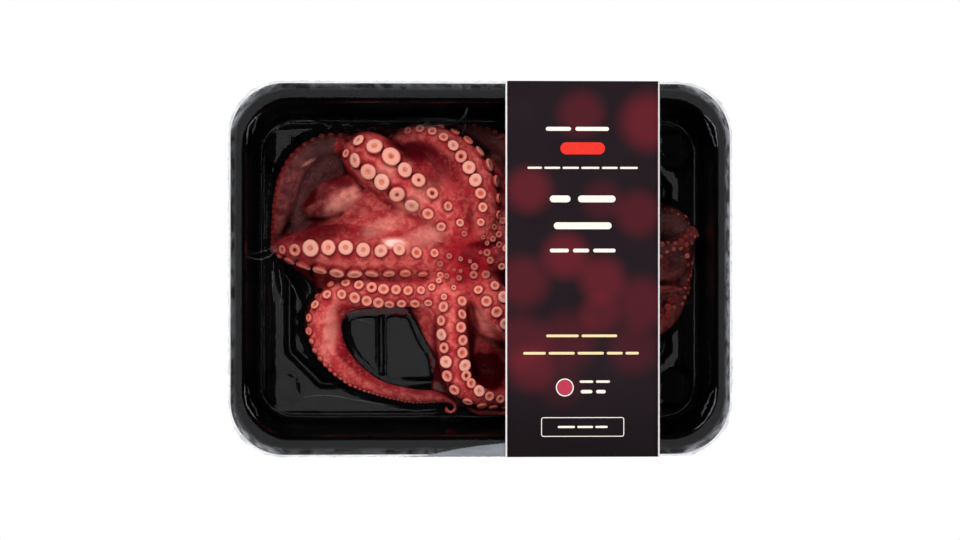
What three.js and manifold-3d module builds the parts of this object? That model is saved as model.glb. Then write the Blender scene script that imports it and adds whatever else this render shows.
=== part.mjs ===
// A skin pack of cooked octopus: a black formed tray, the octopus lying with its suckers up,
// the clear film drawn down over it, and a printed board sleeve round the pack.
//
// Millimetres, +Z up. The origin is on the ground under the middle of the tray,
// +X along the tray's long side towards the sleeve, +Y across it.

import * as THREE from 'three';
import Module from 'manifold-3d';
import { mergeVertices } from 'three/addons/utils/BufferGeometryUtils.js';

// ---------------------------------------------------------------- driving dimensions

const TRAY = {
  length: 190,
  width: 141,
  flangeTop: 33.6,
  floor: 3.2,
  sheet: 0.8,
  cornerRadius: 20.5,
  rimDrop: 1.2,
};

// How far each level of the tray's upper side stands in from its outer edge, on the short
// sides (x) and the long sides (y), how much tighter its corners are, its height, and which
// way the sheet's under side lies from it: out (towards the outside) and down, in sheet
// thicknesses.
const TRAY_LEVELS = [
  { x: 0, y: 0, tighter: 0, z: TRAY.flangeTop - TRAY.rimDrop, out: -1, down: 0 },
  { x: 0, y: 0, tighter: 0, z: TRAY.flangeTop - 0.5, out: -1, down: 0.4 },
  { x: 0.5, y: 0.5, tighter: 0.5, z: TRAY.flangeTop, out: -0.4, down: 1 },
  { x: 4.6, y: 5.8, tighter: 2.5, z: TRAY.flangeTop, out: 0.4, down: 1 },
  { x: 5.4, y: 6.6, tighter: 3.1, z: TRAY.flangeTop - 0.9, out: 1, down: 0.4 },
  { x: 7.8, y: 10, tighter: 6.1, z: TRAY.floor + 3.6, out: 1, down: 0.2 },
  { x: 8.6, y: 10.9, tighter: 7.1, z: TRAY.floor + 1.3, out: 0.8, down: 0.6 },
  { x: 10.6, y: 12.8, tighter: 8.9, z: TRAY.floor + 0.1, out: 0.3, down: 1 },
  { x: 18, y: 20, tighter: 14.5, z: TRAY.floor, out: 0, down: 1 },
];
const FLANGE_INNER = TRAY_LEVELS[3];
const RIM = TRAY_LEVELS[4];
const WALL_FOOT = TRAY_LEVELS[5];
const FLOOR_BEND = TRAY_LEVELS[6];
const TRAY_CUTS = { corner: 5, long: 1, short: 1 };

// The eight-sided channel pressed into the floor, and the rib inside it.
const CHANNEL = { halfX: 74, halfY: 44.8, corner: 12.5, width: 2.6, depth: 1.6 };
const RIB = { x: -38.1, fromY: -42.6, toY: 30, width: 3.2, height: 1.1 };

// Round feet pressed down at the corners, and lens-shaped lugs on the end walls.
const FOOT = { x: 76.6, y: 46.5, radius: 7.6, taper: 0.7, sides: 12 };
const LUG = { y: 49, z: 19, bulge: 1.2, halfLength: 7, halfHeight: 9 };
const CORNERS = [[1, 1], [-1, 1], [-1, -1], [1, -1]];

// How far a cutting shape stands past what it cuts, and a joined one reaches into its host.
const OVERCUT = 1;
const BITE = 0.1;
const ROUNDING = 1e-6;

const SLEEVE = {
  fromX: 9.3,
  toX: 67.5,
  board: 0.45,
  halfTop: 72.1,
  halfBottom: 62.3,
  top: 35.1,
  bottom: 0.1,
  bend: 1.2,
  bendSteps: 4,
};

// The film, and its nodes in plan: the rings inside the tray's floor bend, as shares of that
// ring, and how many steps each ring's corners and sides are cut into.
const FILM = { thickness: 0.3, gap: 0.45, overhang: 0.7, wallGap: 1.8, floor: 4.75 };
const FILM_SHRINKS = [0.92, 0.83, 0.74, 0.64, 0.54, 0.43, 0.32, 0.21, 0.1];
const FILM_CUTS = { corner: 3, long: 10, short: 6 };
const SAMPLE_STEP = 1;

// How the arms are built: the gap under them, their section, the spacing of its rings and
// the stretch of an arm, in points, over which its heading is measured.
const RESTING_GAP = 0.3;
const SECTION = { sides: 8, roundness: 0.9, thinnest: 0.6 };
const RING_STEP = { perHalfWidth: 1.5, least: 2.6, most: 6.5 };
const HEADING_SPAN = 0.1;

// The arms, from the mouth outwards. Each point is x, y, the height of the arm's crest above
// the ground, half its width, and how far the sucker side is rolled over, in degrees, towards
// the right hand of someone walking outwards. suckers gives the sucker radius as a share of
// the half width at the mouth and at the tip, and the stretch of the arm, in points, that
// carries them.
const ARMS = {
  back_left: {
    points: [
      [-5, 5, 18, 6, 8],
      [-11, 16, 23, 8, 8],
      [-19.5, 23.7, 26, 9, 8],
      [-30, 31.6, 28, 9.8, 8],
      [-41, 40.4, 26.5, 10.4, 12],
      [-49, 46, 19, 8, 45],
      [-58, 47.6, 14.5, 5.4, 82],
      [-68, 41, 13.5, 4.8, 85],
      [-74.6, 30, 13, 4.8, 85],
      [-77, 18, 11, 3.6, 85],
      [-79.5, 8.5, 7.5, 1.3, 85],
    ],
    suckers: { share: [0.25, 0.34], from: 0.7, to: 9.4 },
  },
  back: {
    points: [
      [-4, 8, 18, 6, 20],
      [-2, 18, 22, 7.4, 34],
      [-1, 30, 23.5, 8.2, 37],
      [-4.5, 40, 23.5, 8.2, 40],
      [-11.5, 47.2, 22.5, 7, 44],
      [-20, 50, 21, 5.8, 62],
      [-28, 49.6, 18, 4.8, 72],
      [-35, 44, 15, 4.6, 20],
      [-46, 31.5, 17, 6.6, -90],
      [-57, 27.6, 16, 6.6, -90],
      [-66, 24.4, 12, 3.6, -90],
      [-71, 21.5, 7, 1.2, -90],
    ],
    suckers: { share: [0.21, 0.37], from: 0.8, to: 6.2 },
  },
  left: {
    points: [
      [-9, 4, 18, 6, -20],
      [-20, 6, 22, 8, -28],
      [-33, 7.5, 23.5, 9, -30],
      [-46, 8, 23.5, 9.8, -31],
      [-58, 8.3, 22.5, 9, -33],
      [-68, 8.5, 19, 6.5, -40],
      [-76, 8.2, 14, 3.8, -45],
      [-81.5, 7.8, 8, 1.3, -45],
    ],
    suckers: { share: [0.27, 0.42], from: 0.5, to: 6.4 },
  },
  front_left: {
    points: [
      [-10, -2, 17, 5.5, 0],
      [-17, -8.2, 18.5, 6, -4],
      [-26, -10.4, 19, 6.6, -3],
      [-38, -10.2, 19, 6.8, 0],
      [-48, -11, 18, 6.6, 32],
      [-56.5, -13.6, 16, 6.4, 66],
      [-60.8, -20, 14.5, 6, 84],
      [-59.9, -29.5, 12.5, 5.4, 88],
      [-54.6, -36.6, 11, 4.6, 90],
      [-47.4, -42.4, 9.8, 3.8, 90],
      [-38, -46.8, 8.8, 3, 90],
      [-26, -49.2, 7.8, 2.4, 90],
      [-14, -50, 7, 1.7, 90],
      [-8.4, -52.2, 6.2, 1.2, 90],
      [-10.2, -55.6, 5.6, 1, 90],
      [-14.2, -54.6, 5, 0.8, 90],
    ],
    suckers: { share: [0.3, 0.24], from: 0.7, to: 10.6 },
  },
  front: {
    points: [
      [-9.5, -3, 17, 5, 0],
      [-10.4, -12, 20, 6.2, 0],
      [-10.8, -22, 21, 6.6, 0],
      [-10.2, -32, 21, 6.4, 0],
      [-7.8, -42, 19.5, 6, 4],
      [-1, -49.4, 17, 5.4, 12],
      [9, -52, 14.5, 4.8, 14],
      [20, -50, 12, 3.8, 10],
      [30, -45.5, 10, 3, 0],
      [38, -45.6, 9, 2.4, 0],
      [41, -51, 8, 2, 0],
      [36, -55.4, 7.4, 1.7, 0],
      [24, -56.4, 6.8, 1.5, 0],
      [9, -56.6, 6.2, 1.2, 0],
      [0, -56, 5.6, 1.1, 0],
      [-4.4, -53.4, 5, 0.8, 0],
    ],
    suckers: { share: [0.31, 0.38], from: 0.5, to: 8.5 },
  },
  front_right: {
    points: [
      [-4, -2, 17, 5.5, -10],
      [1.5, -8, 21.5, 7, -12],
      [7.5, -16, 23, 8, -12],
      [17, -25, 21, 7.8, -6],
      [31, -30.5, 19, 7.2, 0],
      [46, -28.5, 17, 6.4, 0],
      [59, -21.5, 15, 5.6, 0],
      [69, -14.8, 13.5, 4.8, 0],
      [77, -9.6, 11, 3, 20],
      [81.8, -1.4, 8.6, 1.7, 60],
      [82.9, 7, 7.6, 1.3, 70],
      [82, 12.4, 6, 0.9, 70],
    ],
    suckers: { share: [0.28, 0.3], from: 0.7, to: 7.4 },
  },
  right: {
    points: [
      [-2, 2, 17, 5, 0],
      [7, 4, 20, 6.2, 0],
      [20, 5, 20, 7.2, 0],
      [36, 5.2, 19, 7.4, 0],
      [52, 3.4, 17, 6.8, 0],
      [65, 0.4, 15.5, 6.2, 0],
      [74.6, -0.8, 14, 5.4, 20],
      [79.4, 5.4, 13, 4.8, 60],
      [79.6, 14, 12.6, 4.8, 70],
      [74.4, 20, 12.6, 4.8, 70],
      [66, 19.6, 12.4, 4.4, 60],
      [58, 16, 11, 3.4, 20],
      [50, 15, 9, 2, 0],
    ],
    suckers: { share: [0.3, 0.3], from: 0.6, to: 11.2 },
  },
  back_right: {
    points: [
      [-3, 6, 17, 5, 0],
      [7, 13, 18.5, 6.2, 0],
      [18, 21, 18, 6.6, 0],
      [25, 31.5, 17, 6.2, 0],
      [20.5, 41, 16, 5.6, 10],
      [11, 46.4, 15, 5, 60],
      [3, 51, 13, 3.8, 80],
      [-6, 54.6, 10, 2.4, 90],
      [-13, 55.8, 7, 1.2, 90],
    ],
    suckers: { share: [0.3, 0.32], from: 0.6, to: 6.6 },
  },
};

// The skin between the arms: the same kind of points, without suckers.
const WEBS = [
  [[-10, 9, 19, 7], [-23, 16, 20, 8.5], [-36, 20, 19.5, 9], [-47, 20, 17, 7], [-54, 19, 10, 3]],
  [[-8, 12, 17, 6], [-11, 24, 16.5, 6.5], [-15.5, 34, 13.5, 5.5], [-19, 41, 9, 3]],
  [[-14, -5, 15, 6], [-19.5, -16, 14.5, 7], [-16, -28, 13.5, 4.6], [-13, -38, 12, 3]],
  [[-14, 0, 16, 5], [-30, -2.5, 16, 5.5], [-46, -2.5, 14, 4.5], [-54, -3, 9, 2]],
];

const BODY = { x: -7, y: 3, crest: 18.5, radius: 20 };

// The suckers' rows stand either side of the rolled crest by spread, in degrees. The rest are
// shares of a sucker's radius, but for the smallest radius made, the steepest angle that
// carries a sucker, and the margin inside the sleeve past which none are made.
const SUCKER = {
  sides: 6,
  spread: 29,
  pitch: 2.36,
  rise: 0.34,
  sunk: 1.7,
  dish: 0.45,
  smallest: 1.6,
  steepest: 100,
  sleeveMargin: 4,
};

const FINISH = {
  tray: { color: 0x0d0d0f, roughness: 0.28, metalness: 0 },
  octopus: { color: 0xb65a55, roughness: 0.4, metalness: 0 },
  film: { color: 0xdfe3e8, roughness: 0.08, metalness: 0, transparent: true, opacity: 0.25 },
  sleeve: { color: 0x3a1c28, roughness: 0.45, metalness: 0 },
};

// ---------------------------------------------------------------- solids

const wasm = await Module();
wasm.setup();

// The solid that a closed three.js geometry bounds.
function toSolid(geometry) {
  const bare = geometry.clone();
  bare.deleteAttribute('normal');
  bare.deleteAttribute('uv');
  const merged = mergeVertices(bare, 1e-4);
  return new wasm.Manifold(
    new wasm.Mesh({
      numProp: 3,
      vertProperties: new Float32Array(merged.attributes.position.array),
      triVerts: new Uint32Array(merged.index.array),
    }),
  );
}

function toGeometry(solid) {
  const mesh = solid.getMesh();
  const geometry = new THREE.BufferGeometry();
  geometry.setAttribute('position', new THREE.BufferAttribute(mesh.vertProperties, 3));
  geometry.setIndex(new THREE.BufferAttribute(mesh.triVerts, 1));
  geometry.computeVertexNormals();
  return geometry;
}

// A closed skin over rings of points, all of one count, from the first ring's centre point
// to the last ring's: start and end are those centre points. Each cell between two rings is
// split along one diagonal, and from the row turned on along the other.
function skin(rings, start, end, turned = rings.length) {
  const count = rings[0].length;
  const points = [start, ...rings.flat(), end];
  const last = points.length - 1;
  const faces = [];
  for (let k = 0; k < count; k += 1) {
    const next = (k + 1) % count;
    faces.push(0, 1 + next, 1 + k);
    faces.push(last, last - count + k, last - count + next);
  }
  for (let row = 0; row + 1 < rings.length; row += 1) {
    for (let k = 0; k < count; k += 1) {
      const next = (k + 1) % count;
      const [a, b] = [1 + row * count + k, 1 + row * count + next];
      if (row < turned) {
        faces.push(a, b, b + count, a, b + count, a + count);
      } else {
        faces.push(a, b, a + count, b, b + count, a + count);
      }
    }
  }
  const geometry = new THREE.BufferGeometry();
  geometry.setAttribute('position', new THREE.Float32BufferAttribute(points.flat(), 3));
  geometry.setIndex(faces);
  return geometry;
}

function part(name, geometry, finish) {
  const mesh = new THREE.Mesh(geometry, new THREE.MeshStandardMaterial(finish));
  mesh.name = name;
  return mesh;
}

// ---------------------------------------------------------------- tray

// A level rounded rectangle, counterclockwise from above, with its corners and its long and
// short sides cut into so many steps.
function roundedRing(halfX, halfY, radius, z, cuts) {
  const [coreX, coreY] = [halfX - radius, halfY - radius];
  const sides = [
    { from: [coreX, coreY], run: [-2 * coreX, 0], steps: cuts.long },
    { from: [-coreX, coreY], run: [0, -2 * coreY], steps: cuts.short },
    { from: [-coreX, -coreY], run: [2 * coreX, 0], steps: cuts.long },
    { from: [coreX, -coreY], run: [0, 2 * coreY], steps: cuts.short },
  ];
  const ring = [];
  sides.forEach(({ from, run, steps }, corner) => {
    for (let step = 0; step <= cuts.corner; step += 1) {
      const angle = ((corner + step / cuts.corner) * Math.PI) / 2;
      ring.push([from[0] + radius * Math.cos(angle), from[1] + radius * Math.sin(angle), z]);
    }
    const [x, y] = ring[ring.length - 1];
    for (let step = 1; step < steps; step += 1) {
      ring.push([x + (run[0] * step) / steps, y + (run[1] * step) / steps, z]);
    }
  });
  return ring;
}

// One side of the tray's sheet: the upper side, or the under side a sheet thickness away.
function trayRings(offset) {
  return TRAY_LEVELS.map((level) => {
    const out = offset * level.out;
    return roundedRing(
      TRAY.length / 2 - level.x + out,
      TRAY.width / 2 - level.y + out,
      TRAY.cornerRadius - level.tighter + out,
      level.z - offset * level.down,
      TRAY_CUTS,
    );
  });
}

// An upright prism over a flat outline, from one height to another.
function prism(outline, from, to) {
  const shape = new THREE.Shape(outline.map(([x, y]) => new THREE.Vector2(x, y)));
  const geometry = new THREE.ExtrudeGeometry(shape, { depth: to - from, bevelEnabled: false });
  geometry.translate(0, 0, from);
  return toSolid(geometry);
}

function octagon(grow) {
  const x = CHANNEL.halfX + grow;
  const y = CHANNEL.halfY + grow;
  const cut = CHANNEL.corner + grow * (2 - Math.SQRT2);
  return [
    [x, y - cut], [x - cut, y], [cut - x, y], [-x, y - cut],
    [-x, cut - y], [cut - x, -y], [x - cut, -y], [x, cut - y],
  ];
}

function channelRing(halfWidth, from, to) {
  const outer = prism(octagon(halfWidth), from, to);
  return outer.subtract(prism(octagon(-halfWidth), from - OVERCUT, to + OVERCUT));
}

function ribBar(grow, from, to) {
  const half = RIB.width / 2 + grow;
  const [low, high] = [RIB.fromY - grow, RIB.toY + grow];
  const outline = [[-half, low], [half, low], [half, high], [-half, high]];
  return prism(outline.map(([x, y]) => [x + RIB.x, y]), from, to);
}

// The four feet: tapered round plugs between two heights.
function footPlugs(grow, bottom, top) {
  const radius = FOOT.radius + grow;
  const plug = new THREE.CylinderGeometry(radius, radius - FOOT.taper, top - bottom, FOOT.sides);
  plug.rotateX(Math.PI / 2);
  plug.translate(0, 0, (top + bottom) / 2);
  const solid = toSolid(plug);
  return wasm.Manifold.union(CORNERS.map(([sx, sy]) => solid.translate([sx * FOOT.x, sy * FOOT.y, 0])));
}

// The four lugs on the end walls, which lean in towards the floor.
function lugLenses(shrink) {
  const lean = Math.atan((WALL_FOOT.x - RIM.x) / (RIM.z - WALL_FOOT.z));
  const wallX = TRAY.length / 2 - RIM.x - (RIM.z - LUG.z) * Math.tan(lean);
  const lenses = CORNERS.map(([sx, sy]) => {
    const lens = new THREE.SphereGeometry(1, 8, 4);
    lens.scale(LUG.bulge * 2 - shrink, LUG.halfLength - shrink, LUG.halfHeight - shrink);
    lens.rotateY(sx * -lean);
    lens.translate(sx * (wallX + LUG.bulge), sy * LUG.y, LUG.z);
    return toSolid(lens);
  });
  return wasm.Manifold.union(lenses);
}

function makeTray() {
  const upper = trayRings(0);
  const under = trayRings(TRAY.sheet);
  const underFloor = TRAY.floor - TRAY.sheet;
  const rings = [...under.slice().reverse(), ...upper];
  const shell = toSolid(skin(rings, [0, 0, underFloor], [0, 0, TRAY.floor]));

  const half = CHANNEL.width / 2;
  const below = underFloor - CHANNEL.depth;
  const ridge = channelRing(half + TRAY.sheet, below, TRAY.floor - BITE);
  const groove = channelRing(half, TRAY.floor - CHANNEL.depth, TRAY.floor + OVERCUT);
  const ribTop = TRAY.floor + RIB.height;
  const rib = ribBar(0, TRAY.floor - BITE, ribTop);
  const ribHollow = ribBar(-TRAY.sheet, 0, ribTop - TRAY.sheet);
  const feet = footPlugs(TRAY.sheet, 0, TRAY.floor);
  const footHollows = footPlugs(0, TRAY.sheet, TRAY.floor + BITE);
  const walls = shell.add(ridge).add(feet).add(rib).subtract(groove).subtract(ribHollow);

  // The lugs keep only what lies inside the wall's outer side.
  const wallRings = under.slice(TRAY_LEVELS.indexOf(FLANGE_INNER)).reverse();
  const insideWall = toSolid(skin(wallRings, [0, 0, underFloor], [0, 0, TRAY.flangeTop]));
  const lugs = lugLenses(0).intersect(insideWall);
  return walls.subtract(footHollows).add(lugs).subtract(lugLenses(2 * TRAY.sheet));
}

// ---------------------------------------------------------------- sleeve

// The band's section across the pack: a trapezium with softly bent corners.
function sleeveOutline(inset) {
  const top = SLEEVE.top - inset;
  const bottom = SLEEVE.bottom + inset;
  const corners = [
    [SLEEVE.halfTop - inset, top],
    [-SLEEVE.halfTop + inset, top],
    [-SLEEVE.halfBottom + inset, bottom],
    [SLEEVE.halfBottom - inset, bottom],
  ];
  const bend = SLEEVE.bend - inset / 2;
  const outline = new THREE.Path();
  corners.forEach(([y, z], k) => {
    const [before, after] = [corners[(k + 3) % 4], corners[(k + 1) % 4]];
    const towards = ([ty, tz]) => {
      const length = Math.hypot(ty - y, tz - z);
      return [y + ((ty - y) * bend) / length, z + ((tz - z) * bend) / length];
    };
    const [from, to] = [towards(before), towards(after)];
    if (k === 0) {
      outline.moveTo(...from);
    } else {
      outline.lineTo(...from);
    }
    outline.quadraticCurveTo(y, z, ...to);
  });
  return outline.getPoints(SLEEVE.bendSteps);
}

function makeSleeve() {
  const shape = new THREE.Shape(sleeveOutline(0));
  shape.holes.push(new THREE.Path(sleeveOutline(SLEEVE.board)));
  const depth = SLEEVE.toX - SLEEVE.fromX;
  const band = new THREE.ExtrudeGeometry(shape, { depth, bevelEnabled: false, curveSegments: 1 });
  // The section's plane turns from XY to YZ, and its depth runs along X.
  band.applyMatrix4(new THREE.Matrix4().set(0, 0, 1, SLEEVE.fromX, 1, 0, 0, 0, 0, 1, 0, 0, 0, 0, 0, 1));
  return toSolid(band);
}

// ---------------------------------------------------------------- octopus

// The smooth curve through a list of rows, at a place given in rows.
function along(rows, place) {
  const row = Math.min(Math.floor(place), rows.length - 2);
  const t = place - row;
  const pick = (k) => rows[THREE.MathUtils.clamp(k, 0, rows.length - 1)];
  const [a, b, c, d] = [pick(row - 1), pick(row), pick(row + 1), pick(row + 2)];
  return b.map((value, k) => {
    const slopeIn = (c[k] - a[k]) / 2;
    const slopeOut = (d[k] - value) / 2;
    const rise = c[k] - value;
    const square = 3 * rise - 2 * slopeIn - slopeOut;
    const cube = slopeIn + slopeOut - 2 * rise;
    return value + t * (slopeIn + t * (square + t * cube));
  });
}

// The place, heading and section of an arm at one place along its points, and its length
// for each point there.
function station(points, place) {
  const [x, y, crest, halfWidth, roll] = along(points, place);
  const before = along(points, Math.max(place - HEADING_SPAN / 2, 0));
  const after = along(points, Math.min(place + HEADING_SPAN / 2, points.length - 1));
  const heading = Math.atan2(after[1] - before[1], after[0] - before[0]);
  const speed = Math.hypot(after[0] - before[0], after[1] - before[1]) / HEADING_SPAN;
  const bottom = TRAY.floor + RESTING_GAP;
  const half = Math.max(halfWidth, SECTION.thinnest);
  const upper = Math.min(half * SECTION.roundness, (crest - bottom) / 2);
  return { x, y, crest, half, upper, lower: crest - upper - bottom, heading, speed, roll };
}

// The point of a station's skin at an angle from the crest, towards the right hand.
function onSection(at, degrees) {
  const angle = THREE.MathUtils.degToRad(degrees);
  const across = at.half * Math.sin(angle);
  const up = Math.cos(angle) * (Math.cos(angle) > 0 ? at.upper : at.lower);
  return [
    at.x + across * Math.sin(at.heading),
    at.y - across * Math.cos(at.heading),
    at.crest - at.upper + up,
  ];
}

function limb(points) {
  const rings = [];
  const last = points.length - 1;
  for (let row = 0; row < last; row += 1) {
    const [a, b] = [points[row], points[row + 1]];
    const wanted = ((a[3] + b[3]) / 2) * RING_STEP.perHalfWidth;
    const length = THREE.MathUtils.clamp(wanted, RING_STEP.least, RING_STEP.most);
    const steps = Math.max(1, Math.round(Math.hypot(b[0] - a[0], b[1] - a[1]) / length));
    for (let step = 0; step < steps; step += 1) {
      rings.push(station(points, row + step / steps));
    }
  }
  rings.push(station(points, last));
  const turn = 360 / SECTION.sides;
  const outlines = rings.map((at) => (
    Array.from({ length: SECTION.sides }, (_, k) => onSection(at, turn * (k + 0.5)))
  ));
  const middle = (at) => [at.x, at.y, at.crest - at.upper];
  return toSolid(skin(outlines, middle(rings[0]), middle(rings[rings.length - 1])));
}

// One sucker: a funnel with a dished top, its stem sunk into the arm.
function sucker(centre, normal, radius) {
  const height = radius * SUCKER.rise;
  const profile = [
    new THREE.Vector2(0, -radius * SUCKER.sunk),
    new THREE.Vector2(radius, height),
    new THREE.Vector2(0, height * (1 - SUCKER.dish)),
  ];
  const button = new THREE.LatheGeometry(profile, SUCKER.sides);
  const turn = new THREE.Quaternion().setFromUnitVectors(new THREE.Vector3(0, 1, 0), normal);
  button.applyQuaternion(turn);
  button.translate(...centre);
  return toSolid(button);
}

// The direction out of a station's skin at an angle from the crest.
function outOfSection(at, degrees) {
  const reach = 4;
  const one = new THREE.Vector3(...onSection(at, degrees + reach));
  const other = new THREE.Vector3(...onSection(at, degrees - reach));
  const ahead = new THREE.Vector3(Math.cos(at.heading), Math.sin(at.heading), 0);
  return one.sub(other).cross(ahead).normalize();
}

// Two alternating rows of suckers along an arm, either side of its rolled sucker side.
function suckersOf({ points, suckers }) {
  const solids = [];
  const [hiddenFrom, hiddenTo] = [SLEEVE.fromX + SUCKER.sleeveMargin, SLEEVE.toX - SUCKER.sleeveMargin];
  let place = suckers.from;
  let side = 1;
  while (place < suckers.to) {
    const at = station(points, place);
    const radius = at.half * THREE.MathUtils.lerp(...suckers.share, place / (points.length - 1));
    const degrees = at.roll + side * SUCKER.spread;
    const hidden = at.x > hiddenFrom && at.x < hiddenTo;
    if (radius > SUCKER.smallest && Math.abs(degrees) < SUCKER.steepest && !hidden) {
      solids.push(sucker(onSection(at, degrees), outOfSection(at, degrees), radius));
    }
    place += (radius * SUCKER.pitch) / 2 / Math.max(at.speed, 1);
    side = -side;
  }
  return solids;
}

// The biggest of the pieces that a union falls into, without any hollow sealed inside it.
function outerShell(solid) {
  return solid.decompose().reduce((best, one) => (one.volume() > best.volume() ? one : best));
}

function makeOctopus() {
  const body = new THREE.SphereGeometry(1, 20, 12);
  const height = BODY.crest - TRAY.floor - RESTING_GAP;
  body.rotateX(Math.PI / 2);
  body.scale(BODY.radius, BODY.radius, height / 2);
  body.translate(BODY.x, BODY.y, BODY.crest - height / 2);
  const flesh = [toSolid(body), ...WEBS.map(limb)];
  for (const arm of Object.values(ARMS)) {
    flesh.push(limb(arm.points), ...suckersOf(arm));
  }
  const overRib = ribBar(RESTING_GAP, TRAY.floor, TRAY.floor + RIB.height + RESTING_GAP);
  return outerShell(wasm.Manifold.union(flesh).subtract(overRib));
}

// ---------------------------------------------------------------- film

// The film's nodes in plan: rings from its outer edge over the flange, down the wall and
// in across the tray, with the height below which the film can't lie.
function filmRings() {
  const onFlange = TRAY.flangeTop + FILM.gap;
  const ring = (level, inset, z) => (
    roundedRing(
      TRAY.length / 2 - level.x - inset,
      TRAY.width / 2 - level.y - inset,
      TRAY.cornerRadius - level.tighter,
      z,
      FILM_CUTS,
    )
  );
  const overFloor = ring(FLOOR_BEND, FILM.wallGap, FLOOR_BEND.z + FILM.gap);
  return [
    ring(TRAY_LEVELS[0], -FILM.overhang, onFlange),
    ring(RIM, 0, onFlange),
    ring(RIM, FILM.wallGap, RIM.z),
    overFloor,
    ...FILM_SHRINKS.map((share) => overFloor.map(([x, y]) => [x * share, y * share, FILM.floor])),
  ];
}

// Points spread over a geometry's faces, no further apart than the given step.
function samples(geometry, step) {
  const position = geometry.attributes.position;
  const corner = (k) => new THREE.Vector3().fromBufferAttribute(position, geometry.index.getX(k));
  const found = [];
  for (let k = 0; k < geometry.index.count; k += 3) {
    const [a, b, c] = [corner(k), corner(k + 1), corner(k + 2)];
    const longest = Math.max(a.distanceTo(b), b.distanceTo(c), c.distanceTo(a));
    const cuts = Math.max(1, Math.ceil(longest / step));
    for (let i = 0; i <= cuts; i += 1) {
      for (let j = 0; i + j <= cuts; j += 1) {
        const point = a.clone().multiplyScalar(i / cuts);
        point.addScaledVector(b, j / cuts);
        point.addScaledVector(c, (cuts - i - j) / cuts);
        found.push(point);
      }
    }
  }
  return found;
}

// A point's shares of the three corners of a cell, in plan, or nothing outside the cell.
function sharesIn(point, [a, b, c]) {
  const area = (u, v, w) => (v[0] - u[0]) * (w[1] - u[1]) - (v[1] - u[1]) * (w[0] - u[0]);
  const whole = area(a, b, c);
  const at = [point.x, point.y];
  const shares = [area(at, b, c) / whole, area(a, at, c) / whole, area(a, b, at) / whole];
  return shares.every((share) => share > -ROUNDING) ? shares : null;
}

// The film's cells between its rings, from the given ring inwards.
function cellsOf(rings, centre, first) {
  const cells = [];
  for (let row = first; row < rings.length; row += 1) {
    for (let k = 0; k < rings[row].length; k += 1) {
      const next = (k + 1) % rings[row].length;
      const [a, b] = [rings[row][k], rings[row][next]];
      if (row + 1 < rings.length) {
        const [c, d] = [rings[row + 1][k], rings[row + 1][next]];
        cells.push([a, b, c], [b, d, c]);
      } else {
        cells.push([a, b, centre]);
      }
    }
  }
  return cells;
}

// Lifts the lower nodes of a cell until its film is at the given height over a point.
function liftCell(nodes, shares, height) {
  const missing = () => height - shares.reduce((sum, share, k) => sum + share * nodes[k][2], 0);
  for (let pass = 0; pass < nodes.length && missing() > 0; pass += 1) {
    const lift = missing();
    const lower = shares.map((share, k) => (nodes[k][2] < height ? Math.max(share, 0) : 0));
    const weight = lower.reduce((sum, share) => sum + share * share, ROUNDING);
    lower.forEach((share, k) => {
      nodes[k][2] = Math.max(nodes[k][2], Math.min(nodes[k][2] + (lift * share) / weight, height));
    });
  }
}

// Lifts the film's nodes, the highest points first, just enough for each cell to clear
// every point that lies under it. Returns the node in the middle.
function drapeOver(rings, points) {
  const centre = [0, 0, FILM.floor];
  const cells = cellsOf(rings, centre, 2).map((nodes) => ({
    nodes,
    low: [Math.min(...nodes.map((n) => n[0])), Math.min(...nodes.map((n) => n[1]))],
    high: [Math.max(...nodes.map((n) => n[0])), Math.max(...nodes.map((n) => n[1]))],
  }));
  points.sort((a, b) => b.z - a.z);
  for (const point of points) {
    for (const { nodes, low, high } of cells) {
      const nearX = point.x >= low[0] && point.x <= high[0];
      const nearY = point.y >= low[1] && point.y <= high[1];
      const shares = nearX && nearY ? sharesIn(point, nodes) : null;
      if (shares) {
        liftCell(nodes, shares, point.z + FILM.gap);
      }
    }
  }
  return centre;
}

function makeFilm(octopus) {
  const rings = filmRings();
  const centre = drapeOver(rings, samples(toGeometry(octopus), SAMPLE_STEP));
  const lift = ([x, y, z]) => [x, y, z + FILM.thickness];
  const top = rings.map((ring) => ring.map(lift));
  const skinRings = [...rings.slice().reverse(), ...top];
  return skin(skinRings, centre, lift(centre), rings.length);
}

// ---------------------------------------------------------------- the pack

const octopus = makeOctopus();

const group = new THREE.Group();
group.add(part('tray', toGeometry(makeTray()), FINISH.tray));
group.add(part('octopus', toGeometry(octopus), FINISH.octopus));
group.add(part('film', makeFilm(octopus), FINISH.film));
group.add(part('sleeve', toGeometry(makeSleeve()), FINISH.sleeve));

export default group;
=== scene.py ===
# %% [markdown]
# # A skin pack of cooked octopus
# A black formed tray holds a cooked octopus with its suckers up. A clear film is drawn down
# over it by vacuum, and a printed board sleeve goes round the pack. The solids of the pack come
# in as a fixed frame. This lesson makes the surfaces that are seen: flesh, suckers, juice, film,
# tray and board, each in its place in that frame.

# %% The frame
import math
import random

import bmesh
import bpy
import numpy as np
from mathutils import Matrix, Vector, noise
from mathutils.bvhtree import BVHTree
from mathutils.kdtree import KDTree


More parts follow.
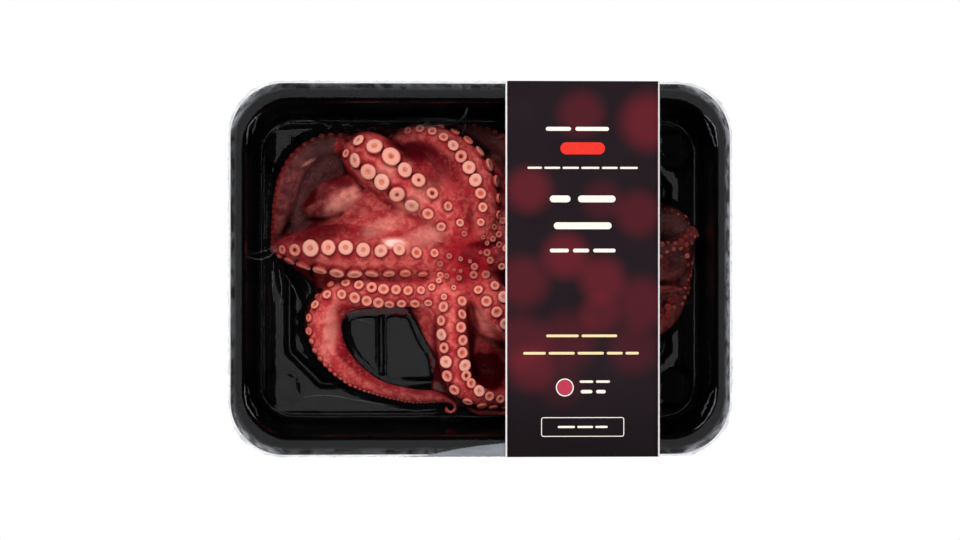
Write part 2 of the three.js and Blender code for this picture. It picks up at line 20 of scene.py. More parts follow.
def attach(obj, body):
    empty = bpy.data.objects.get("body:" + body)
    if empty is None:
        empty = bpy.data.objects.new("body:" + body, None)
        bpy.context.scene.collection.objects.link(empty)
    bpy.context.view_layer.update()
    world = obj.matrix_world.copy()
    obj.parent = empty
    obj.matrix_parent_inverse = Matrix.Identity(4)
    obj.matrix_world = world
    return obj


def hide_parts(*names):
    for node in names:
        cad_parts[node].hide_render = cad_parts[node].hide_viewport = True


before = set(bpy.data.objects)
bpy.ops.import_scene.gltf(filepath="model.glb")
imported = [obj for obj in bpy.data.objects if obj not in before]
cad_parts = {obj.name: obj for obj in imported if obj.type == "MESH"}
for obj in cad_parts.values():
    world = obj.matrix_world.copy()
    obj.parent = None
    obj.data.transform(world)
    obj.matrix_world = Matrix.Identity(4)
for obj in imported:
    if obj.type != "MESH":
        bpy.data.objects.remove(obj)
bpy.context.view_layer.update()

MM = 0.001

# %% [markdown]
# ## Camera
# A shallow pack is best seen from straight above with a long lens, so that its walls hardly
# show. The camera stands 0.9 m over the film, leaning two degrees to the left.

# %% Camera
TARGET = Vector((-0.4, -0.4, 33)) * MM
CAMERA_DISTANCE = 900 * MM
CAMERA_LEAN = math.radians(2)
LENS_LENGTH = 88.8
SENSOR_WIDTH = 36

camera_data = bpy.data.cameras.new("camera")
camera_data.lens = LENS_LENGTH
camera_data.sensor_width = SENSOR_WIDTH
camera = bpy.data.objects.new("camera", camera_data)
bpy.context.scene.collection.objects.link(camera)
lean = Matrix.Rotation(-CAMERA_LEAN, 4, "Y")
camera.matrix_world = Matrix.Translation(TARGET) @ lean @ Matrix.Translation((0, 0, CAMERA_DISTANCE))
bpy.context.scene.camera = camera
bpy.context.scene.view_settings.view_transform = "Standard"
print("camera at", [round(v, 3) for v in camera.matrix_world.translation])

# %% [markdown]
# ## Light
# Black plastic and clear film show what they mirror more than their own colour. One wide soft
# light straight above gives their flat faces an even dark grey, and leaves everything that
# slopes black. Two soft lights to the sides light the flesh. They are hidden from mirror rays,
# as crossed polarising filters would do. A small one is left to make glints on the wet film.

# %% Light
SKY = 0.01
LIGHTS = {
    "above": {"place": (0, 0, 1.5), "size": 1.1, "power": 2.9, "mirrored": True},
    "back": {"place": (-0.35, 0.8, 0.95), "size": 0.6, "power": 17, "mirrored": False},
    "front": {"place": (0.4, -0.75, 0.95), "size": 0.7, "power": 12, "mirrored": False},
    "glint": {"place": (-0.5, 0.7, 0.9), "size": 0.25, "power": 1.2, "mirrored": True},
}

world = bpy.data.worlds.new("studio")
world.use_nodes = True
world.node_tree.nodes["Background"].inputs["Color"].default_value = (1, 1, 1, 1)
world.node_tree.nodes["Background"].inputs["Strength"].default_value = SKY
bpy.context.scene.world = world

for name, light in LIGHTS.items():
    lamp = bpy.data.lights.new(name, "AREA")
    lamp.size = light["size"]
    lamp.energy = light["power"]
    holder = bpy.data.objects.new(name, lamp)
    place = Vector(light["place"])
    holder.matrix_world = Matrix.Translation(place) @ place.to_track_quat("Z", "Y").to_matrix().to_4x4()
    holder.visible_glossy = light["mirrored"]
    bpy.context.scene.collection.objects.link(holder)
print("lights:", list(LIGHTS))

# %% [markdown]
# ## Short names for shader nodes
# A material is a tree of nodes. These helpers add one node in a line: an input is given either
# a plain value or the output of another node.

# %% Shader helpers
def srgb(red, green, blue):
    """A screen colour, 0 to 255, as the linear colour that a shader works in."""
    linear = []
    for value in (red, green, blue):
        share = value / 255
        linear.append(share / 12.92 if share <= 0.04045 else ((share + 0.055) / 1.055) ** 2.4)
    return (*linear, 1)


def start_material(name):
    material = bpy.data.materials.new(name)
    material.use_nodes = True
    tree = material.node_tree
    tree.nodes.clear()
    add(tree, "OutputMaterial")
    return material, tree


def add(tree, kind, inputs=None, **settings):
    """Adds a shader node. inputs maps an input's name or number to a value or an output."""
    node = tree.nodes.new("ShaderNode" + kind)
    for key, value in settings.items():
        setattr(node, key, value)
    for key, value in (inputs or {}).items():
        if isinstance(value, bpy.types.NodeSocket):
            tree.links.new(value, node.inputs[key])
        else:
            node.inputs[key].default_value = value
    return node


def finish_material(tree, shader):
    tree.links.new(shader, tree.nodes["Material Output"].inputs["Surface"])


def mix(tree, factor, one, other, blend_type="MIX"):
    """Two colours, mixed by a factor."""
    inputs = {0: factor, 6: one, 7: other}
    return add(tree, "Mix", inputs, data_type="RGBA", blend_type=blend_type).outputs[2]


def maths(tree, operation, one, other=0.0, clamp=False):
    return add(tree, "Math", {0: one, 1: other}, operation=operation, use_clamp=clamp).outputs[0]


def times(tree, one, other, clamp=False):
    return maths(tree, "MULTIPLY", one, other, clamp)


def layered(tree, ground, layers):
    """A ground colour with others laid over it: layers are (how much, colour) pairs."""
    for how_much, color in layers:
        ground = mix(tree, how_much, ground, color)
    return ground


def fade(tree, value, low, high, to_low=0.0, to_high=1.0):
    """A value's place between low and high, eased at both ends."""
    inputs = {"Value": value, "From Min": low, "From Max": high, "To Min": to_low, "To Max": to_high}
    return add(tree, "MapRange", inputs, interpolation_type="SMOOTHSTEP").outputs["Result"]


print("a middle grey of the screen in linear light:", [round(v, 3) for v in srgb(128, 128, 128)])

# %% [markdown]
# ## Patterns and bumps
# A finish is never one flat colour. Noise in object coordinates stays put on its piece, an
# attribute tells a shader what was worked out for each point of a mesh, and a bump turns a pattern
# into fine relief.

# %% Pattern helpers
def attribute(tree, name):
    return add(tree, "Attribute", attribute_name=name).outputs["Fac"]


def place_of(tree, stretch=(1, 1, 1)):
    """The point on the piece in object coordinates, stretched along the axes."""
    here = add(tree, "TexCoord").outputs["Object"]
    return add(tree, "Mapping", {"Vector": here, "Scale": stretch}).outputs["Vector"]


def speckle(tree, size, detail=3.0, roughness=0.55, stretch=(1, 1, 1), distortion=0.0):
    """Noise from 0 to 1 whose blobs are about size metres across."""
    inputs = {
        "Vector": place_of(tree, stretch),
        "Scale": 1 / size,
        "Detail": detail,
        "Roughness": roughness,
        "Distortion": distortion,
    }
    return add(tree, "TexNoise", inputs).outputs["Fac"]


def ramp(tree, value, stops):
    """Colours along a value: stops are (place, colour) pairs."""
    node = add(tree, "ValToRGB", {"Fac": value})
    elements = node.color_ramp.elements
    while len(elements) < len(stops):
        elements.new(0.5)
    for element, (place, color) in zip(elements, stops):
        element.position = place
        element.color = color
    return node.outputs["Color"]


def bump(tree, height, depth, normal=None):
    """A bump of the given depth in metres, on top of another one or of the bare surface."""
    inputs = {"Height": height, "Distance": depth, "Strength": 1.0}
    if normal is not None:
        inputs["Normal"] = normal
    return add(tree, "Bump", inputs).outputs["Normal"]


def finish_solid(tree, inputs):
    """Ends a material in a Principled shader with the given inputs."""
    finish_material(tree, add(tree, "BsdfPrincipled", inputs).outputs[0])


print("patterns are sized in metres: a millimetre is", MM)

# %% [markdown]
# ## Making a piece
# Every piece starts as a bmesh. Its object stays at the origin, with its place in its points,
# and it rides on the pack's one body and stands for a solid of the frame. Most pieces are sheets,
# so there are helpers that lay out a grid, turn a sheet face up and give it its thickness.

# %% Piece helpers
BODY = "root"


def make_piece(name, mesh, material, node, smooth=True):
    piece = bpy.data.objects.new(name, mesh)
    bpy.context.scene.collection.objects.link(piece)
    mesh.materials.clear()
    mesh.materials.append(material)
    mesh.polygons.foreach_set("use_smooth", [smooth] * len(mesh.polygons))
    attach(piece, BODY)
    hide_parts(node)
    print(f"{name}: {len(mesh.polygons)} faces")


def to_mesh(bm, name):
    mesh = bpy.data.meshes.new(name)
    bm.to_mesh(mesh)
    bm.free()
    return mesh


def applied(mesh, name, modifiers):
    """A copy of a mesh with modifiers applied: modifiers are (kind, settings) pairs."""
    carrier = bpy.data.objects.new(name, mesh)
    bpy.context.scene.collection.objects.link(carrier)
    for kind, settings in modifiers:
        modifier = carrier.modifiers.new(kind, kind)
        for key, value in settings.items():
            setattr(modifier, key, value)
    shaped = bpy.data.meshes.new_from_object(carrier.evaluated_get(bpy.context.evaluated_depsgraph_get()))
    bpy.data.objects.remove(carrier)
    return shaped


def coordinates(mesh):
    """The points of a mesh as rows of x, y and z."""
    points = np.zeros(len(mesh.vertices) * 3, np.float32)
    mesh.vertices.foreach_get("co", points)
    return points.reshape(-1, 3)


def set_attribute(mesh, name, values):
    layer = mesh.attributes.new(name, "FLOAT", "POINT")
    layer.data.foreach_set("value", np.asarray(values, np.float32))


def lay_grid(bm, columns, rows, place):
    """A sheet of squares. place turns u and v, each from 0 to 1, into a point in metres."""
    grid = bmesh.ops.create_grid(bm, x_segments=columns, y_segments=rows, size=0.5)["verts"]
    for vert in grid:
        vert.co = place(vert.co.x + 0.5, vert.co.y + 0.5)
    return grid


def close_rims(bm):
    bmesh.ops.holes_fill(bm, edges=[edge for edge in bm.edges if edge.is_boundary], sides=0)


def face_up(bm, above=-1.0):
    """Turns a sheet so that, above a height in metres, most of it faces up."""
    bmesh.ops.recalc_face_normals(bm, faces=bm.faces)
    upper = [face for face in bm.faces if face.calc_center_median().z > above]
    if sum(face.normal.z * face.calc_area() for face in upper) < 0:
        bmesh.ops.reverse_faces(bm, faces=bm.faces)


def thick(bm, name, thickness, offset=-1):
    """A sheet with its thickness in millimetres: below it, or with offset 0 to both sides."""
    return applied(to_mesh(bm, name), name, [("SOLIDIFY", {"thickness": thickness * MM, "offset": offset})])


print("pieces ride on the body", BODY)

# %% [markdown]
# ## The arms as routes
# Eight arms leave the mouth. Two more entries are the ends of arms that come into view again
# from under others. Each is a list of stations: where it is, how high its crest lies, half its
# width, how far its sucker side is rolled over, and how much painted shade darkens it: arms that
# lie deep in the pack get less light, and their colour is painted darker for it.
# The suckers' radius along an arm is given at a few stations. It grows from the mouth outwards,
# and then shrinks again towards the tip. Their spread is how far the two rows stand from the
# middle of the sucker side.

# %% Arm routes, in millimetres and degrees
ARMS = {
    "back_left": {
        "rows": [
            [-5, 7, 18, 6, 0, 0.1],
            [-9.5, 15, 21, 7, 0, 0],
            [-17.9, 23.7, 24.5, 8.4, 0, 0],
            [-28.9, 32.1, 27.5, 9.8, 0, 0],
            [-38, 39.6, 28, 10.4, 0, 0.05],
            [-45.2, 44.6, 25.5, 9.6, 0, 0.1],
            [-50.2, 47.4, 18.5, 6.4, 0, 0.3],
            [-51.8, 48.4, 14, 3, 0, 0.5],
        ],
        "suckers": [
            (0.4, 1.2), (1, 1.7), (2, 2.35), (3, 3.0), (4.1, 3.35), (4.8, 3.2), (5.4, 2.4), (5.9, 1.8),
        ],
        "spread": 24.5,
    },
    "back_left_end": {
        "rows": [
            [-43, 43, 10, 3.5, 50, 0.95],
            [-50, 47.4, 12.5, 4.8, 60, 0.95],
            [-56.5, 48.6, 12.8, 4.6, 75, 1],
            [-63, 46.8, 12.8, 4.3, 82, 1],
            [-69, 42, 13, 4.6, 85, 0.95],
            [-73.2, 35, 13.3, 4.9, 85, 0.9],
            [-75.4, 27, 12.5, 4.7, 85, 0.9],
            [-77.8, 18, 10, 2.9, 85, 0.9],
            [-79.6, 9.5, 7.5, 1.2, 85, 0.9],
        ],
        "suckers": [(1, 1.3), (3, 1.4), (8, 0.8)],
    },
    "back": {
        "rows": [
            [-3, 8, 18, 6, 25, 0.15],
            [-0.4, 18, 22, 7.4, 38, 0.1],
            [-1.2, 29.6, 23.5, 8.2, 38, 0.15],
            [-5.8, 39.2, 23.5, 8.2, 40, 0.25],
            [-12.4, 46.4, 22.5, 7, 44, 0.35],
            [-20, 50, 21, 5.8, 62, 0.45],
            [-28, 49.6, 18, 4.8, 72, 0.6],
            [-35, 44, 15, 4.6, 20, 0.8],
            [-42, 36, 14, 4.4, -90, 0.8],
            [-48.6, 31.6, 18, 5.2, -90, 0.55],
            [-54.4, 29, 19.5, 6.6, -90, 0.6],
            [-60, 26.2, 18, 6.8, -90, 0.75],
            [-65.8, 23.8, 13, 4.6, -90, 0.8],
            [-71, 21.6, 8, 1.4, -90, 0.9],
        ],
        "suckers": [(0.3, 1.0), (1.5, 1.9), (2.3, 2.4), (2.8, 2.5), (4, 2.15), (6, 1.6), (6.5, 1.2)],
    },
    "left": {
        "rows": [
            [-9, 4, 18, 6, -20, 0.05],
            [-20, 6, 22, 8, -33, 0],
            [-33, 7.5, 23.5, 9, -35, 0],
            [-46, 8, 23.5, 9.8, -35, 0.05],
            [-58, 8.3, 22.5, 9, -37, 0.15],
            [-68, 8.5, 19, 6.5, -43, 0.35],
            [-76, 8.2, 14, 3.8, -45, 0.5],
            [-81.5, 7.8, 8, 1.3, -45, 0.7],
        ],
        "suckers": [
            (0.1, 1.1), (1.4, 2.2), (2.6, 2.65), (3.6, 2.95), (4.5, 3.2), (5, 3), (6, 1.9), (6.4, 1.4),
        ],
        "spread": 34,
    },
    "front_left": {
        "rows": [
            [-10, -2, 17, 5.5, 0, 0],
            [-17, -8.2, 18.5, 6, -8, 0],
            [-26, -9.3, 19, 5.4, -18, 0],
            [-38, -9.2, 19, 5.5, -13, 0.1],
            [-48, -10, 18, 5.7, 18, 0.1],
            [-56.3, -13, 16, 6.2, 66, 0.05],
            [-60, -20, 14.5, 6.8, 84, 0],
            [-58.8, -29, 12.5, 6.4, 88, 0],
            [-54, -36.4, 11, 5.4, 90, 0],
            [-47.4, -42.2, 9.8, 4.4, 90, 0.1],
            [-38, -46.8, 8.8, 3, 90, 0.25],
            [-26, -49.6, 8.4, 2.8, 90, 0.4],
            [-17, -50, 8.2, 2.4, 90, 0.5],
            [-11, -51.4, 7.6, 1.3, 90, 0.4],
            [-8.8, -54, 7, 0.8, 90, 0.2],
            [-10.4, -56.2, 6.6, 0.7, 90, 0.2],
            [-12.6, -55.6, 6.4, 0.7, 90, 0.2],
            [-12.4, -53.9, 6.2, 0.6, 90, 0.2],
        ],
        "suckers": [
            (0.1, 1.0), (1.9, 1.9), (3.4, 2.2), (5, 2.0), (6.2, 1.6), (8, 1.1), (9.4, 0.8), (12, 0.6),
        ],
        "spread": 27,
    },
    "front": {
        "rows": [
            [-9.5, -3, 17, 5, 0, 0.1],
            [-10.4, -12, 20, 6.2, 0, 0],
            [-10.8, -22, 21, 6.6, 0, 0],
            [-10.2, -32, 21, 6.4, 0, 0],
            [-8.2, -41.4, 19.5, 6, 4, 0.05],
            [-4, -46.4, 18, 5.5, 14, 0.15],
            [3, -48.4, 16, 4.8, 38, 0.35],
            [11, -49.4, 14.5, 4.4, 44, 0.45],
            [20, -48.4, 12, 3.8, 20, 0.5],
            [30, -45.5, 10, 3, 0, 0.5],
            [38, -45.6, 9, 2.4, 0, 0.5],
            [41, -51, 8, 2, 0, 0.6],
            [36, -54.8, 9, 1.6, 0, 0.6],
            [24, -55.6, 9, 1.4, 0, 0.4],
            [12, -56, 9, 1.2, 0, 0.1],
            [4, -56.1, 9, 1.2, 0, 0.1],
            [0.4, -56, 8.8, 1.1, 0, 0.1],
            [-2.6, -55, 8.4, 1, 0, 0.1],
            [-4.8, -53, 8, 0.8, 0, 0.1],
        ],
        "suckers": [(0, 1.1), (0.9, 2.0), (3.5, 2.4), (6, 2.1), (7, 1.7), (10, 1), (13, 0.5)],
    },
    "front_right": {
        "rows": [
            [-4, -2, 17, 5.5, -10, 0.1],
            [1.5, -8, 21.5, 7, -12, 0],
            [7.5, -16, 23, 8, -12, 0],
            [17, -25, 21, 7.8, -6, 0.1],
            [31, -30.5, 19, 7.2, 0, 0.2],
            [46, -28.5, 17, 6.4, 0, 0.3],
            [60, -23, 15.5, 6.6, 0, 0.7],
            [70.5, -19, 14.5, 6, -10, 0.9],
            [77, -12.6, 12.5, 4.2, 0, 1],
            [81.8, -1.4, 8.6, 1.5, 60, 1.1],
            [82.9, 7, 7.6, 1.2, 70, 1.1],
            [82, 12.4, 6, 0.9, 70, 1.1],
        ],
        "suckers": [
            (0.1, 1.2), (0.6, 1.7), (1.5, 2.2), (3, 2.5), (4.5, 2.3), (6, 1.9), (7.4, 1.6), (8.4, 0.9),
            (11, 0.5),
        ],
        "spread": 23,
    },
    "right": {
        "rows": [
            [-2, 2, 17, 5, 0, 0.2],
            [7, 4, 20, 6.2, 0, 0.25],
            [20, 5, 20, 7.2, 0, 0.3],
            [36, 5.2, 19, 7.4, 0, 0.4],
            [52, 3.4, 17, 6.8, -60, 0.6],
            [65, 0.4, 15.5, 6.2, -150, 0.85],
            [74.6, -0.8, 14, 5, -170, 0.95],
            [79, 5.4, 12.4, 4.2, -290, 1.05],
            [79.4, 13.6, 12.6, 4.6, -284, 1.05],
            [75, 19.6, 13, 4.8, -282, 1.05],
            [66, 19.6, 12.6, 4.4, -285, 1.05],
            [58, 16, 11, 3.4, -300, 1],
            [50, 15, 9, 2, -320, 1],
        ],
        "suckers": [(0.1, 1.1), (1, 1.55), (2.5, 2.1), (4.5, 2.1), (6, 1.5), (7.5, 1.0), (12, 0.6)],
    },
    "back_right": {
        "rows": [
            [-3, 6, 17, 5, 0, 0.3],
            [7, 13, 18.5, 6.2, 0, 0.55],
            [18, 21, 18, 6.6, 0, 0.6],
            [25, 31.5, 17, 6.2, 0, 0.7],
            [20.5, 41, 16, 5.6, 10, 0.8],
            [11, 46.4, 15, 5, 60, 0.95],
            [3, 51, 13, 3.8, 80, 1],
            [-6, 54.6, 10, 2.4, 90, 1],
            [-13, 55.8, 7, 1.2, 90, 1],
        ],
        "suckers": [(0.2, 1.1), (1.3, 1.5), (3, 2), (5, 1.7), (6.8, 1)],
    },
    "right_end": {
        "rows": [
            [85, 16, 10, 1.4, 0, 0.95],
            [82.6, 12.4, 13.6, 2.4, 0, 0.95],
            [77.6, 9.8, 15.6, 2.9, 0, 1],
            [71, 7.6, 16.4, 3.1, 0, 1.05],
            [62, 6.4, 16, 3.2, 0, 1.05],
        ],
        "suckers": [(0.3, 0.75), (1, 0.95), (2, 1.1), (4, 1.2)],
    },
}

print(len(ARMS), "arms and arm ends,", sum(len(arm["rows"]) for arm in ARMS.values()), "stations")

# %% [markdown]
# ## Between the stations
# A smooth curve through the stations gives every place between them. The section there is nearly
# round in its upper half, and its lower half reaches down to the floor of the tray.

# %% Places along an arm
TRAY_FLOOR = 3.2
FLESH_BOTTOM = TRAY_FLOOR + 0.3
ROUNDNESS = 0.9
LEAST_HALF = 0.6
NEARBY = 0.05
ASIDE = 4


def along(rows, place):
    """The smooth curve through a list of rows, at a place given in rows."""
    table = np.asarray(rows, float)
    row = min(int(place), len(table) - 2)
    share = place - row
    a, b, c, d = (table[max(0, min(k, len(table) - 1))] for k in range(row - 1, row + 3))
    slope_in, slope_out, rise = (c - a) / 2, (d - b) / 2, c - b
    square = 3 * rise - 2 * slope_in - slope_out
    return b + share * (slope_in + share * (square + share * (slope_in + slope_out - 2 * rise)))


def places_beside(rows, place):
    """The places a little before and a little after a place."""
    return max(place - NEARBY, 0), min(place + NEARBY, len(rows) - 1)


def station(rows, place):
    """Where an arm is at a place, which way it heads, and its section there."""
    x, y, crest, half, roll, shade = along(rows, place)
    before, after = (along(rows, beside)[:2] for beside in places_beside(rows, place))
    way = after - before
    half = max(half, LEAST_HALF)
    upper = min(half * ROUNDNESS, (crest - FLESH_BOTTOM) / 2)
    return {
        "x": x, "y": y, "crest": crest, "half": half, "roll": roll, "shade": shade,
        "upper": upper, "lower": crest - upper - FLESH_BOTTOM,
        "heading": math.atan2(way[1], way[0]), "speed": math.hypot(*way) / (2 * NEARBY),
    }


def on_section(at, degrees):
    """The point of an arm's skin at an angle from its crest, in metres."""
    angle = math.radians(degrees)
    across = at["half"] * math.sin(angle)
    up = math.cos(angle) * (at["upper"] if math.cos(angle) > 0 else at["lower"])
    x = at["x"] + across * math.sin(at["heading"])
    y = at["y"] - across * math.cos(at["heading"])
    return Vector((x, y, at["crest"] - at["upper"] + up)) * MM


def out_of_skin(rows, place, degrees):
    """The direction out of an arm's skin at a place and an angle from its crest."""
    before, after = (station(rows, beside) for beside in places_beside(rows, place))
    ahead = on_section(after, degrees) - on_section(before, degrees)
    at = station(rows, place)
    across = on_section(at, degrees + ASIDE) - on_section(at, degrees - ASIDE)
    return across.cross(ahead).normalized()


print("first station of the left arm:", station(ARMS["left"]["rows"], 0))

# %% [markdown]
# ## Suckers: where they sit
# Two rows of suckers run along each arm, either side of the middle of its sucker side. They
# alternate. From the mouth to the largest sucker the spacing stays the same while the suckers
# grow. After that they stand close, rim to rim. A seeded draw makes each a little different, and
# more so on the shrunken arms at the right end. A sucker that is turned away or small is plain: it
# has no broad pale rim.

# %% Sucker places
USUAL_SPREAD = 31
SUCKER_PITCH = 2.12
STEEPEST = 104
LOOSE_X = (54, 58)
LOOSE_RADIUS = (-0.35, 0.25)
WANDER = 3
LOOSE_WANDER = 15
TILT = 0.16
PLAIN_DEGREES = (26, 76)
BROAD_DEGREES = 12
PLAIN_RADIUS = (1.3, 1.8)
SLANT_DEGREES = (45, 75)

draw = random.Random(11)


def eased(values, low, high):
    """A value's place between low and high, from 0 to 1, eased at both ends."""
    share = np.clip((values - low) / (high - low), 0, 1)
    return share * share * (3 - 2 * share)


def faded(values, low, high):
    """The same from the other side: 1 up to low and 0 from high on."""
    return 1 - eased(values, low, high)


def wrapped(degrees):
    """An angle between -180 and 180 degrees."""
    return (degrees + 180) % 360 - 180


def radius_at(keys, place):
    return float(np.interp(place, [key[0] for key in keys], [key[1] for key in keys]))


def place_suckers(rows, keys, spread):
    largest = max(keys, key=lambda key: key[1])[0]
    place, side, found = keys[0][0], 1, []
    while place < keys[-1][0]:
        at = station(rows, place)
        loose = eased(at["x"], *LOOSE_X)
        radius = radius_at(keys, place) * (1 + loose * draw.uniform(*LOOSE_RADIUS))
        step = SUCKER_PITCH * radius_at(keys, max(place, largest)) / 2
        wander = draw.uniform(-1, 1) * (WANDER + LOOSE_WANDER * loose)
        degrees = wrapped(at["roll"] + side * spread + wander)
        if abs(degrees) < STEEPEST:
            tilt = Vector([draw.uniform(-TILT, TILT) for _ in range(3)])
            turned_away = eased(abs(degrees) - BROAD_DEGREES * radius, *PLAIN_DEGREES)
            towards_tip = faded(radius, *PLAIN_RADIUS) * (place > largest)
            found.append({
                "centre": on_section(at, degrees),
                "normal": (out_of_skin(rows, place, degrees) + tilt).normalized(),
                "radius": radius * draw.uniform(0.94, 1.05) * MM,
                "turn": draw.uniform(0, math.tau),
                "squash": draw.uniform(0.9, 1.08),
                "tone": draw.random(),
                "shade": at["shade"],
                "plain": max(turned_away, towards_tip),
                "slant": eased(abs(degrees), *SLANT_DEGREES),
            })
        place += step / max(at["speed"], 1)
        side = -side
    return found


print("a row of suckers stands", USUAL_SPREAD, "degrees beside the middle, unless its arm says otherwise")

# %% [markdown]
# ## Laying out the suckers
# All arms get their rows. Round the mouth, where the rows of all arms meet, they end, and small
# suckers with places of their own take over: x, y and radius. One that would run into another is
# left out.

# %% Suckers of the whole octopus
MOUTH = (-4, 4)
NEAR_MOUTH = 11.8
MOUTH_CREST = 19
LEAST_GAP = 0.9
MOUTH_SUCKERS = [
    (-6.1, 13.6, 1.3), (-11.9, 5, 1.3), (-15.4, 2.1, 1.3), (1.2, 12.3, 1), (5.1, 11.6, 1.3), (2.8, 10, 1),
    (2.8, 6.2, 1.5), (7.8, 5.8, 1.7), (4.1, 3.3, 1.5), (7.8, 0.8, 1.8), (-2.1, 0.9, 1.5), (-2.4, -2.3, 1.7),
    (2.3, -2.2, 1.8), (-0.2, -6.6, 1.7), (0.3, 6.3, 0.8), (-3.8, 2.9, 0.8), (-7.4, 3.9, 1), (-10, -0.3, 0.7),
    (-7.4, -0.7, 0.8), (-12.7, -2.6, 1.2), (-8, -3.4, 1.2), (-10.6, -6.4, 1.2),
]

suckers = []
for arm in ARMS.values():
    suckers += place_suckers(arm["rows"], arm["suckers"], arm.get("spread", USUAL_SPREAD))
suckers = [one for one in suckers if math.dist(one["centre"].xy / MM, MOUTH) > NEAR_MOUTH]
for x, y, radius in MOUTH_SUCKERS:
    place = Vector((x, y, MOUTH_CREST))
    gaps = [(place - one["centre"] / MM).xy.length / (radius + one["radius"] / MM) for one in suckers]
    if min(gaps) > LEAST_GAP:
        suckers.append({
            "centre": place * MM, "normal": Vector((0, 0, 1)), "radius": radius * MM, "turn": 0,
            "squash": draw.uniform(0.92, 1.08), "tone": draw.random(), "shade": 0.5, "plain": 0.3,
            "slant": 0,
        })
print(len(suckers), "suckers, largest", round(max(one["radius"] for one in suckers) / MM, 2), "mm")

# %% [markdown]
# ## Limbs
# Each limb is a sheet wrapped round its route and welded along the seam, as paper is rolled
# round a stick. The folds of skin between the arms are limbs too, flatter and without suckers. The
# head lies below the arms, as a low dome. A short stalk stands under every sucker.

# %% Limbs
LIMB_SIDES = 28
LIMB_STEP = 1.6
STALK = {"sides": 12, "foot": 1.12, "top": 0.78, "length": 1.5, "sunk": 0.5}
WEBS = [
    [[-14, 10, 19, 6, 0, 0.1], [-27, 16.5, 21, 8.5, 0, 0.05], [-37, 21, 20.5, 9, 0, 0.15],
     [-43, 24, 17, 6, 0, 0.4], [-47, 25, 12, 3, 0, 0.6]],
    [[-16, 8, 19, 6, 0, 0.1], [-30, 13.5, 20, 8, 0, 0], [-44, 15, 18.5, 8, 0, 0.15],
     [-56, 14.5, 15.5, 6.5, 0, 0.45], [-64, 14, 10, 3, 0, 0.7]],
    [[-8, 12, 17, 6, 0, 0.3], [-12, 24, 18.5, 7.5, 0, 0.4], [-18, 34, 18, 7.5, 0, 0.5],
     [-26, 42, 15.5, 6, 0, 0.5], [-33, 48, 10, 3, 0, 0.6]],
    [[-12, -4, 16, 6, 0, 0.15], [-17.5, -13, 15.5, 7.4, 0, 0.15], [-16.4, -24, 14, 5.8, 0, 0.3],
     [-13.2, -34, 13, 3.2, 0, 0.4], [-11, -43, 12, 2.4, 0, 0.5]],
    [[-2, -12, 15, 5, 0, 0.1], [1, -24, 12, 6.5, 0, 0.3], [4, -34, 9.5, 7.5, 0, 0.4],
     [6, -44, 8, 6, 0, 0.4]],
    [[-54, 43, 9.5, 6, 0, 1], [-62, 36, 10, 7.5, 0, 1], [-68, 26, 9.5, 6, 0, 1], [-70, 14, 8, 3, 0, 1]],
    [[60, -8, 16, 1, 0, 0.85], [70, -7, 16.8, 1, 0, 0.85], [77, -7.4, 16, 0.9, 0, 0.85],
     [80.4, -9, 13, 0.7, 0, 0.85]],
    [[-14, 0, 16, 5, 0, 0.2], [-30, -2.5, 16, 5.5, 0, 0.3], [-46, -2.5, 14, 4.5, 0, 0.5],
     [-54, -3, 9, 2, 0, 0.7]],
]
MANTLE = {"place": (-7, 3), "crest": 18.5, "radius": 20}


def wrap_limb(bm, rows):
    """A closed round shell along a route: a grid wrapped round it and welded."""
    table = np.asarray(rows, float)
    length = np.hypot(*np.diff(table[:, :2], axis=0).T).sum()
    steps = max(8, int(length / LIMB_STEP))
    last = len(rows) - 1
    grid = lay_grid(bm, LIMB_SIDES, steps, lambda u, v: on_section(station(rows, v * last), u * 360))
    bmesh.ops.remove_doubles(bm, verts=grid, dist=1e-6)
    close_rims(bm)


def add_stalk(bm, one):
    """The short neck under a sucker, sunk in the arm."""
    radius = one["radius"]
    cone = bmesh.ops.create_cone(
        bm, cap_ends=True, segments=STALK["sides"],
        radius1=radius * STALK["foot"], radius2=radius * STALK["top"], depth=radius * STALK["length"],
    )["verts"]
    turn = one["normal"].to_track_quat("Z", "Y").to_matrix().to_4x4()
    place = Matrix.Translation(one["centre"] - one["normal"] * radius * STALK["sunk"])
    bmesh.ops.transform(bm, matrix=place @ turn, verts=cone)


def add_mantle(bm):
    """The head as a low dome: a ball stretched between the floor and its crest."""
    half_height = (MANTLE["crest"] - FLESH_BOTTOM) / 2
    for vert in bmesh.ops.create_uvsphere(bm, u_segments=32, v_segments=16, radius=1)["verts"]:
        x, y, z = vert.co
        vert.co = Vector((
            MANTLE["place"][0] + x * MANTLE["radius"],
            MANTLE["place"][1] + y * MANTLE["radius"],
            MANTLE["crest"] - half_height + z * half_height,
        )) * MM


bm = bmesh.new()
for rows in [arm["rows"] for arm in ARMS.values()] + WEBS:
    wrap_limb(bm, rows)
for one in suckers:
    add_stalk(bm, one)
add_mantle(bm)
bmesh.ops.recalc_face_normals(bm, faces=bm.faces)
rough_flesh = to_mesh(bm, "rough_flesh")
print("limbs:", len(rough_flesh.polygons), "faces")

# %% [markdown]
# ## Height maps
# Skin and film both lie on what is below them. A height map holds, for a fine grid of places, the
# height that a ray from above meets. A sheet that can't bend sharply bridges the narrow hollows:
# the heights are spread by a small bowl shape and then shrunk by it.

# %% Height maps
CELL = 0.6
MAP_HALF = (90, 64)
MAP_X = np.arange(-MAP_HALF[0], MAP_HALF[0] + 0.01, CELL)
MAP_Y = np.arange(-MAP_HALF[1], MAP_HALF[1] + 0.01, CELL)
RAY_START = 60
DEEPEST_HOLLOW = 26
grid_x, grid_y = np.meshgrid(MAP_X, MAP_Y)


def ray_tree(mesh):
    """A mesh sorted for rays."""
    return BVHTree.FromPolygons([v.co for v in mesh.vertices], [p.vertices for p in mesh.polygons])


